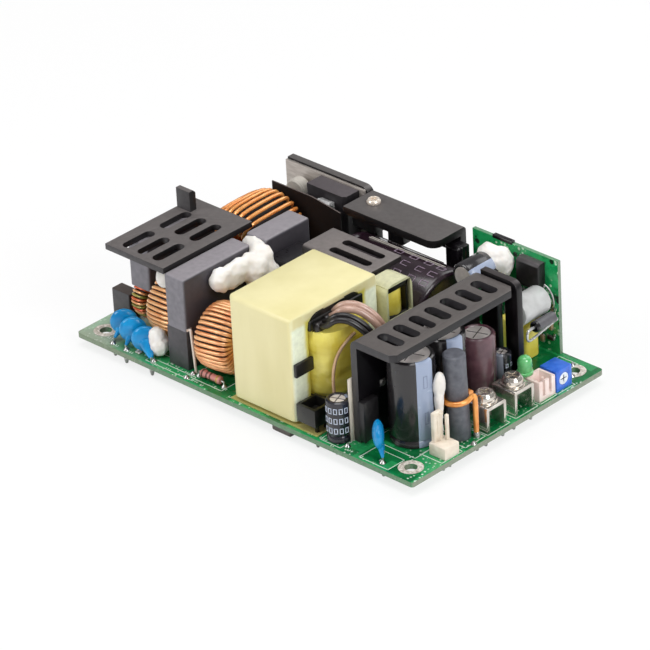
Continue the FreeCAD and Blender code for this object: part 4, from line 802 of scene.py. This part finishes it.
def capacitor_pieces():
    """The sleeved electrolytics, upright and lying, with generic marks on their sleeves."""
    cans = []
    for number, (x, y) in enumerate([(111.5, 17.5), (109.5, 31.6)]):
        finish = sleeve("output sleeve %d" % number, (28, 25, 27), (38, 35, 37), at(x, y), -12, (150, 163, 188), 0.13)
        cans.append(electrolytic("can", (x, y), 6.5, 26.0, finish))
        cans.append(printed_marks(x, y, 6.5, -12, (7.0, 18.0), mark_grey, 0.55))
    carried(joined("output_cans", cans), "output_capacitors")
    x, y = 111.2, 43.7
    plum = sleeve("plum sleeve", (82, 54, 62), (104, 74, 82), at(x, y), 150, (120, 100, 104))
    carried(electrolytic("filter_can", (x, y), 4.9, 20.5, plum), "filter_capacitor")
    wine = plain_sleeve("wine sleeve", (28, 13, 23), (39, 21, 33))
    line = [(11.2, 0), (12.0, 0.7), (12.0, 1.8), (11.55, 2.4), (12.0, 3.0), (12.0, 35.0), (11.6, 35.6), (10.9, 36.0),
            (10.3, 35.9), (10.1, 35.5), (0.5, 35.4)]
    bulk = turned("bulk_can", line, (52.0, 56.8, 12.3), along_x, wine, sides=96)
    carried(joined("bulk_can", [bulk] + bulk_marks()), "bulk_capacitor")
    x, y = 96.5, 4.6
    night = sleeve("night sleeve", (22, 22, 30), (34, 34, 44), at(x, y), 60, (120, 130, 150))
    small = [electrolytic("small", (x, y), 3.4, 12.6, night)]
    for towards in (-112, -86, -60, -34, -8):
        small.append(printed_marks(x, y, 3.4, towards, (3.2, 6.2, 9.2), mark_pale, 0.42, 1.7, 0.22))
    x, y = 112.6, 51.6
    second = sleeve("second night sleeve", (24, 24, 30), (36, 36, 42), at(x, y), -78, (128, 134, 146), 0.2)
    small.append(electrolytic("small", (x, y), 2.7, 11.6, second))
    for towards in (-20, 14):
        small.append(printed_marks(x, y, 2.7, towards, (4.4, 7.6), mark_pale, 0.3, 1.2, 0.18))
    x, y, z = 92.6, 70.1, 24.0
    grey_sleeve = sleeve("bias sleeve", (32, 31, 34), (46, 45, 48), at(x, y, z), -30, (160, 172, 196), tilt=90)
    line = [(3.6, 0), (4.1, 0.4), (4.1, 1.7), (3.75, 2.2), (4.1, 2.7), (4.1, 10.9), (3.8, 11.3), (3.3, 11.5),
            (3.1, 11.35), (0.4, 11.3)]
    small.append(turned("lying", line, (x, y, z), to_front, grey_sleeve))
    small.append(turned("lid", [(3.1, 11.3), (3.0, 11.42), (0.4, 11.45)], (x, y, z), to_front, can_metal))
    for side in (-1.6, 1.6):
        small.append(wire("lead", [(x + side, y - 0.1, z), (x + side, y + 1.9, z), (x + side, 74.7, z)], 0.35, tin))
    carried(joined("small_cans", small), "small_capacitors")


def bulk_marks():
    """Faint pale outlines and two pale lines on the upper side of the lying can, the lines painted highlights."""
    marks = []
    axis_place = (0, 56.8, 12.3)
    for x in (68.0, 73.6, 79.0, 83.6):
        for angle in (58, 76, 94):
            bars = [(x, -0.09, x + 2.6, 0.09), (x, 1.5, x + 2.6, 1.68), (x, 0, x + 0.18, 1.6)]
            if angle != 76:
                bars.append((x + 2.42, 0, x + 2.6, 1.6))
            for left, front, right, back in bars:
                bar = box("mark", (left, front, 11.9), (right, back, 12.04), mark_faint, 0)
                marks.append(swung(bar, axis_place, 90 - angle, "X"))
    # Two pale lines along the top of the can: painted highlights.
    for angle in (102.0, 106.6):
        highlight_line = box("highlight_line", (57.0, 0, 11.8), (84.6, 0.24, 12.14), pale_disc, 0.05)
        marks.append(swung(highlight_line, axis_place, 90 - angle, "X"))
    return marks


def films_and_thermistor():
    """The black films, the tall one with a lightly sloping top, and the pale disc that stands behind it."""
    tall = box("tall", (17.2, 62.0, 0), (43.6, 62.4, 27.4), film, 0)
    fresh()
    tall.select_set(True)
    bpy.context.view_layer.objects.active = tall
    mode("EDIT")
    bpy.ops.mesh.select_all(action="SELECT")
    bpy.ops.mesh.bisect(plane_co=at(32.7, 62.2, 10), plane_no=along_x)
    mode("OBJECT")
    for vertex in tall.data.vertices:
        if vertex.co.x > at(43, 0).x and vertex.co.z > at(0, 0, 27).z:
            vertex.co.z = at(0, 0, 25.8).z
    low = box("low", (50.5, 68.9, 0), (75.5, 69.3, 18.2), film, 0)
    base = box("base", (59.2, 1.2, 0), (91.4, 35.4, 0.4), film, 0)
    edge = box("edge", (99.6, 5.4, 0), (100.0, 20.4, 18.8), film, 0)
    carried(joined("film_sheets", [tall, low, base, edge]), "insulating_sheets")
    x, y = 20.4, 69.4
    disc = [turned("disc", [(0.3, -1.8), (3.3, -1.8), (3.8, -1.3), (3.8, 1.3), (3.3, 1.8), (0.3, 1.8)], (x, y, 22.4),
                   along_y, pale_disc, sides=64)]
    for side in (-2.4, 2.4):
        disc.append(wire("leg", [(x + side, y, 21), (x + side, y, 10), (x + side, y, 0)], 0.4, tin))
    carried(joined("pale_disc_with_legs", disc), "inrush_thermistor")


def axial_pieces():
    """Resistor with its bands, and the axial diode with its bright hooked lead."""
    start = (48.6, 4.4, 1.5)
    line = [(0.9, -3.7), (1.2, -3.3), (1.2, -2.4), (0.98, -2.0), (0.98, 2.0), (1.2, 2.4), (1.2, 3.3), (0.9, 3.7)]
    resistor = [turned("body", line, start, along_x, resistor_glaze, sides=32)]
    for offset, finish in ((-2.7, band_brown), (-1.2, band_brown), (0.1, band_brown), (2.8, band_gold)):
        radius = 1.22 if abs(offset) > 2.3 else 1.0
        resistor.append(turned("band", [(radius, offset - 0.28), (radius + 0.02, offset), (radius, offset + 0.28)],
                               start, along_x, finish, sides=32))
    resistor.append(wire("lead", [(43.8, 4.4, 0), (43.8, 4.4, 1.3), (44.1, 4.4, 1.5), (53.1, 4.4, 1.5),
                                  (53.4, 4.4, 1.3), (53.4, 4.4, 0)], 0.3, tin))
    x, y, z = 114.0, 63.0, 14.2
    diode = [turned("body", [(1.2, 0), (1.6, 0.3), (1.6, 7.7), (1.2, 8.0)], (x, y, z), along_y, diode_grey, sides=32),
             turned("end", [(1.3, -0.04), (1.62, 0.28), (1.62, 1.1), (1.5, 1.12)], (x, y, z), along_y, black_gloss,
                    sides=32)]
    diode.append(wire("lead", [(x, 63.4, z), (x, 61.6, z), (x, 60.3, z - 0.5), (x, 60.2, z - 3.0), (x, 61.6, z - 3.6),
                               (x - 1.0, 68, z - 3.2), (x - 2.0, 74.8, z - 3.2)], 0.38, spring_steel))
    diode.append(wire("lead", [(x, 70.9, z), (x - 0.6, 72.4, z), (x - 3.0, 74.8, z)], 0.3, tin))
    carried(joined("resistor_and_diode", resistor + diode), "axial_parts")


def weighted_bevel(piece, name, width, segments, chosen):
    """Round only the edges that chosen() picks by their two ends."""
    weights = piece.data.attributes.new("bevel_weight_edge", "FLOAT", "EDGE")
    for edge in piece.data.edges:
        if chosen(*(piece.data.vertices[number].co for number in edge.vertices)):
            weights.data[edge.index].value = 1.0
    modify(piece, name, "BEVEL", width=width * mm, segments=segments, limit_method="WEIGHT")


def main_winding():
    """The taped winding: rounded at its corners, with level turns of tape and creases."""
    bottom, tall, layers = 6.6, 19.6, 16
    middle = at(74.0, 18.2, 16.4)
    cube(middle, (32.2 * mm, 19.8 * mm, tall * mm))
    apply_place()
    winding = bpy.context.object
    weighted_bevel(winding, "wide corners", 6.6, 10, lambda one, other: abs(one.z - other.z) > 0.01)
    mode("EDIT")
    for layer in range(1, layers):
        bpy.ops.mesh.select_all(action="SELECT")
        bpy.ops.mesh.bisect(plane_co=at(0, 0, bottom + tall * layer / layers), plane_no=upwards)
    mode("OBJECT")
    for vertex in winding.data.vertices:
        share = (vertex.co.z - at(0, 0, bottom).z) / (tall * mm)
        layer = round(share * layers)
        bulge = 1.0 - 0.05 * (2 * share - 1) ** 4 - (0.007 if layer % 5 == 0 else 0.0)
        lean = 1.0 + 0.006 * math.sin(layer * 2.1)
        vertex.co.x = middle.x + (vertex.co.x - middle.x) * bulge * lean
        vertex.co.y = middle.y + (vertex.co.y - middle.y) * (bulge - 0.004)
    modify(winding, "more faces", "SUBSURF", subdivision_type="SIMPLE", levels=2, render_levels=2)
    displaced(winding, "tape creases", 0.006, 0.0011, 0.62)
    carried(settle("taped_winding", tape_yellow, smooth=70), "transformer_winding")


def transformer_leads():
    """The leads that arch out of the winding to the board, their sleeved ends and the thin sense lead."""
    leads = []
    angle = math.radians(38.5)
    across, along = math.cos(angle), math.sin(angle)
    for aside, back, reach, peak, radius, finish in (
            (0.0, 0.0, 13.4, 30.9, 1.05, pink_wire), (2.3, 0.0, 13.0, 30.6, 1.05, pink_wire),
            (5.0, 1.5, 13.0, 30.2, 0.9, black_wire), (7.0, 1.5, 12.4, 29.9, 0.9, black_wire)):
        x = 85.1 + along * aside - across * back
        y = 17.4 - across * aside - along * back
        far_x, far_y = x + across * reach, y + along * reach
        half_x, half_y = x + across * reach * 0.5, y + along * reach * 0.5
        leads.append(wire("lead", [
            (x - 2.6, y, 27.6), (x - 0.5, y, peak - 1.6),
            (x * 0.7 + half_x * 0.3, y * 0.7 + half_y * 0.3, peak + 0.6), (half_x, half_y, peak + 0.1),
            (far_x * 0.82 + half_x * 0.18, far_y * 0.82 + half_y * 0.18, peak - 5.0),
            (far_x, far_y, 18.0), (far_x, far_y, 8.0), (far_x, far_y, 0.0)], radius, finish))
    leads.append(box("post", (83.5, 11.1, 0), (84.3, 11.9, 6.4), beige_wire, 0.15))
    carried(joined("arching_leads", leads), "output_leads")
    lumps = [box("flange", (80.4, 8.0, 26.3), (84.1, 28.7, 29.4), bobbin_black, 0.5),
             box("lump", (82.8, 9.4, 24.9), (85.6, 14.8, 28.4), black_wire, 1.2, 5),
             box("lump", (82.6, 13.2, 25.8), (85.4, 18.4, 28.9), black_wire, 1.2, 5)]
    carried(joined("sleeved_lead_ends", lumps))
    thin = wire("thin_sense_lead", [(90.2, 18.6, 23.8), (90.3, 14.8, 22.8), (90.5, 10.8, 19.8), (90.8, 9.0, 15.6),
                                    (91.0, 8.8, 10.3), (91.2, 9.2, 5.0), (91.2, 9.8, 0)], 0.46, beige_wire)
    carried(thin, "sense_lead")


def standby_pieces():
    """The small taped core: a thin band of tape over a wide window, with the yellow coil inside it."""
    cube(at(82.5, 40.6, 22.9), (7.0 * mm, 10.1 * mm, 11.2 * mm))
    apply_place()
    band = bpy.context.object
    mode("EDIT")
    bpy.ops.mesh.select_mode(type="FACE")
    bpy.ops.mesh.select_all(action="DESELECT")
    mode("OBJECT")
    for face in band.data.polygons:
        face.select = abs(face.normal.x) > 0.9
    mode("EDIT")
    bpy.ops.mesh.inset(thickness=0.75 * mm, use_individual=True)
    bpy.ops.mesh.bridge_edge_loops()
    mode("OBJECT")
    top = at(0, 0, 28.4).z
    weighted_bevel(band, "rounded shoulders", 3.0, 8,
                   lambda one, other: min(one.z, other.z) > top and abs(one.x - other.x) > 5 * mm)
    band = settle("band", tape_green, smooth=50, outwards=True)
    foot = box("foot", (79.3, 36.0, 0), (86.8, 44.4, 17.6), tape_green, 0.4)
    carried(joined("standby_band", [band, foot]), "standby_core")
    line = [(3.3, 17.4), (3.45, 17.7), (3.45, 25.8), (3.3, 26.1)]
    coil = [turned("coil", line, (82.2, 40.0, 0), upwards, tape_yellow, sides=48),
            box("flange", (79.4, 43.3, 17.5), (85.7, 44.3, 27.2), bobbin_black, 0.2),
            box("flange", (79.4, 36.4, 25.9), (85.7, 44.3, 27.3), bobbin_black, 0.3),
            box("flange", (79.4, 36.4, 17.5), (85.7, 44.3, 18.6), bobbin_black, 0.3)]
    carried(joined("standby_winding", coil), "standby_coil")


def output_side_pieces():
    """Rod choke and its wire, header, taped bias transformer and diode lens."""
    tall = 24.8
    rod = turned("rod", [(3.0, 0.0), (3.1, 0.15), (3.1, 24.4), (2.7, tall), (0.4, tall)], (120.0, 25.8, 0), upwards,
                 ferrite_grey, sides=64)
    for vertex in rod.data.vertices:
        share = vertex.co.z / (tall * mm)
        vertex.co.x += (0.5 - 1.3 * share) * mm
        vertex.co.y += (-0.2 + 0.4 * share) * mm
    carried(rod, "rod_choke_core")
    places = []
    for step in range(12):
        turn = math.radians(60 + step * 30)
        lift = 12.2 - 0.9 * math.sin(math.radians(step * 16))
        places.append((119.95 + 3.85 * math.cos(turn), 25.8 + 3.85 * math.sin(turn), lift))
    places += [(124.0, 28.2, 12.6), (124.1, 28.3, 10.6), (124.1, 28.3, 5.0), (124.1, 28.3, 1.6)]
    foot = turned("foot", [(0.95, 0), (0.9, 0.9), (0.6, 1.6), (0.3, 1.9)], (124.1, 28.3, 0), upwards, tin, sides=24)
    carried(joined("rod_wire", [wire("rod_wire", places, 0.78, rod_enamel), foot]), "rod_choke_wire")
    housing = [box("base", (120.5, 13.6, 0), (126.3, 19.2, 3.6), nylon, 0.25),
               box("prong", (120.5, 14.6, 3.4), (121.9, 17.9, 12.2), nylon, 0.3),
               box("rib", (121.5, 15.7, 3.4), (122.2, 16.5, 11.4), nylon, 0.2),
               box("hook", (121.6, 16.4, 10.9), (122.4, 17.8, 11.9), nylon, 0.25),
               box("prong", (122.7, 17.6, 3.4), (123.6, 18.6, 11.2), nylon, 0.25)]
    carried(joined("header_with_pins", housing), "output_header")
    choke = box("taped_choke", (98.6, 65.7, 0), (108.6, 71.1, 11.2), tape_yellow, 1.0, 5)
    carried(choke, "bias_transformer")
    x, y, lift = 119.3, 53.2, 6.3
    line = [(2.1, 0), (2.3, 0.12), (2.3, 0.8), (1.95, 0.95), (2.05, 2.2), (2.05, 3.2), (1.95, 4.1), (1.6, 4.85),
            (1.05, 5.3), (0.3, 5.5)]
    led = [turned("lens", line, (x, y, lift), upwards, lens, sides=48, smooth=60)]
    for side in (-1.27, 1.27):
        led.append(wire("leg", [(x, y + side, lift + 0.2), (x, y + side, 3.0), (x, y + side, 0)], 0.3, tin))
    carried(joined("diode_lens", led), "status_led")


def control_board_pieces():
    """The small parts on the face of the upright board, the clip on its top edge and the snubber's loop."""
    face, end_length, overhang = 74.8, 0.65, 0.35
    chips = [box("clip", (89.0, 74.6, 28.3), (96.2, 76.15, 29.4), black_gloss, 0.25)]
    for left, low, length, height, finish in (
            (84.2, 22.6, 2.2, 1.1, chip_black), (84.4, 19.8, 1.3, 2.0, chip_tan), (98.2, 12.0, 3.4, 4.2, chip_black),
            (104.4, 8.6, 2.0, 1.1, chip_tan), (107.2, 9.6, 1.1, 2.0, chip_black), (109.4, 7.2, 1.1, 2.1, chip_tan),
            (105.0, 5.6, 2.6, 2.4, chip_black), (108.8, 3.9, 2.0, 1.1, chip_black), (102.4, 3.2, 1.1, 2.0, chip_tan),
            (110.4, 11.6, 1.1, 2.2, chip_tan), (106.2, 2.4, 1.1, 1.9, chip_tan), (99.4, 24.2, 1.1, 2.0, chip_tan)):
        right, high = left + length, low + height
        chips.append(box("chip", (left, face - 0.9, low), (right, face + 0.1, high), finish, 0.12, 2))
        for end in (0, 1):
            if length > height:
                start = left - overhang + end * (length + 0.05)
                (x, z), (far_x, far_z) = (start, low), (start + end_length, high)
            else:
                start = low - overhang + end * (height + 0.05)
                (x, z), (far_x, far_z) = (left, start), (right, start + end_length)
            chips.append(box("end", (x, face - 0.6, z), (far_x, face + 0.05, far_z), tin, 0.1, 1))
    for number in range(9):
        z = 18.9 + number * 0.92
        chips.append(box("pad", (98.9, face - 0.3, z), (100.1, face + 0.05, z + 0.45), tin, 0.05, 1))
    for x, z in ((103.0, 7.4), (104.6, 2.0), (107.8, 6.6), (110.9, 5.4), (101.2, 9.4), (106.9, 12.2)):
        chips.append(turned("joint", [(0.45, 0), (0.4, 0.3), (0.15, 0.5)], (x, face, z), to_front, tin, sides=14))
    carried(joined("small_board_parts", chips))
    x, z, start = 109.0, 17.7, 61.0
    line = [(3.3, 0), (3.9, 0.25), (4.1, 0.8), (4.1, 9.8), (3.9, 10.35), (3.3, 10.6), (0.5, 10.62)]
    snubber = [turned("can", line, (x, start, z), along_y, capacitor_white, sides=72)]
    loop = []
    for step in range(9):
        turn = math.radians(70 - step * 20)
        loop.append((x + 3.1 * math.cos(turn), start + 11.2 + 0.3 * step, z + 4.6 * math.sin(turn)))
    loop = [(x, start + 10.4, z), loop[0], *loop, (x + 1.0, face - 0.1, z - 4.4)]
    snubber.append(wire("loop", loop, 0.27, tin))
    snubber.append(wire("lead", [(x - 2, start + 10.1, z), (x - 2, start + 12, z), (x - 2, face, z)], 0.4, tin))
    carried(joined("snubber_with_loop", snubber), "snubber_capacitor")


def silicone_pieces():
    """The white dabs, each shaped over the place of its plain solid."""
    middle = [(42.2, y, 24.0, 2.5, 3.6, 3.9) for y in (16.6, 20.0, 23.4, 26.8)]
    middle += [(44.2, 28.4, 21.6, 3.6, 4.0, 5.6), (44.6, 31.2, 20.6, 3.8, 3.4, 5.4),
               (42.4, 31.6, 25.2, 4.6, 3.0, 4.0), (38.6, 33.0, 25.0, 4.6, 1.9, 4.4)]
    dabs = [silicone_lump([(27.3, 5.4, 3.6, 3.4, 2.9, 3.6), (26.9, 5.4, 5.6, 2.7, 2.5, 2.8)], 0.35, 0.0012, 0.0007),
            silicone_lump(middle, 0.4, 0.0016, 0.0006),
            silicone_lump([(29.4, 8.2, 24.2, 2.9, 2.9, 3.2), (28.2, 9.4, 22.4, 2.0, 2.1, 2.0)]),
            silicone_lump([(92.8, 70.0, 25.2, 4.4, 3.4, 4.6), (95.8, 71.2, 24.8, 3.4, 3.0, 4.6),
                           (94.4, 72.6, 22.6, 3.4, 2.0, 4.4)], 0.4, 0.0014, 0.0008),
            silicone_lump([(118.9, 20.3, 17.2, 1.5, 1.9, 4.4), (119.0, 19.8, 13.2, 1.4, 1.4, 4.6),
                           (119.1, 19.6, 9.2, 1.1, 1.1, 3.4), (119.1, 19.6, 4.6, 0.9, 0.95, 4.4)],
                          0.25, 0.0006, 0.0004)]
    carried(joined("silicone_lumps", dabs), "silicone_dabs")


for node, finish, bevel in kept:
    dressed(node, finish, bevel)
board_pads_and_legend()
rings_and_discs()
capacitor_pieces()
films_and_thermistor()
axial_pieces()
main_winding()
transformer_leads()
standby_pieces()
output_side_pieces()
control_board_pieces()
silicone_pieces()
camera()
studio()
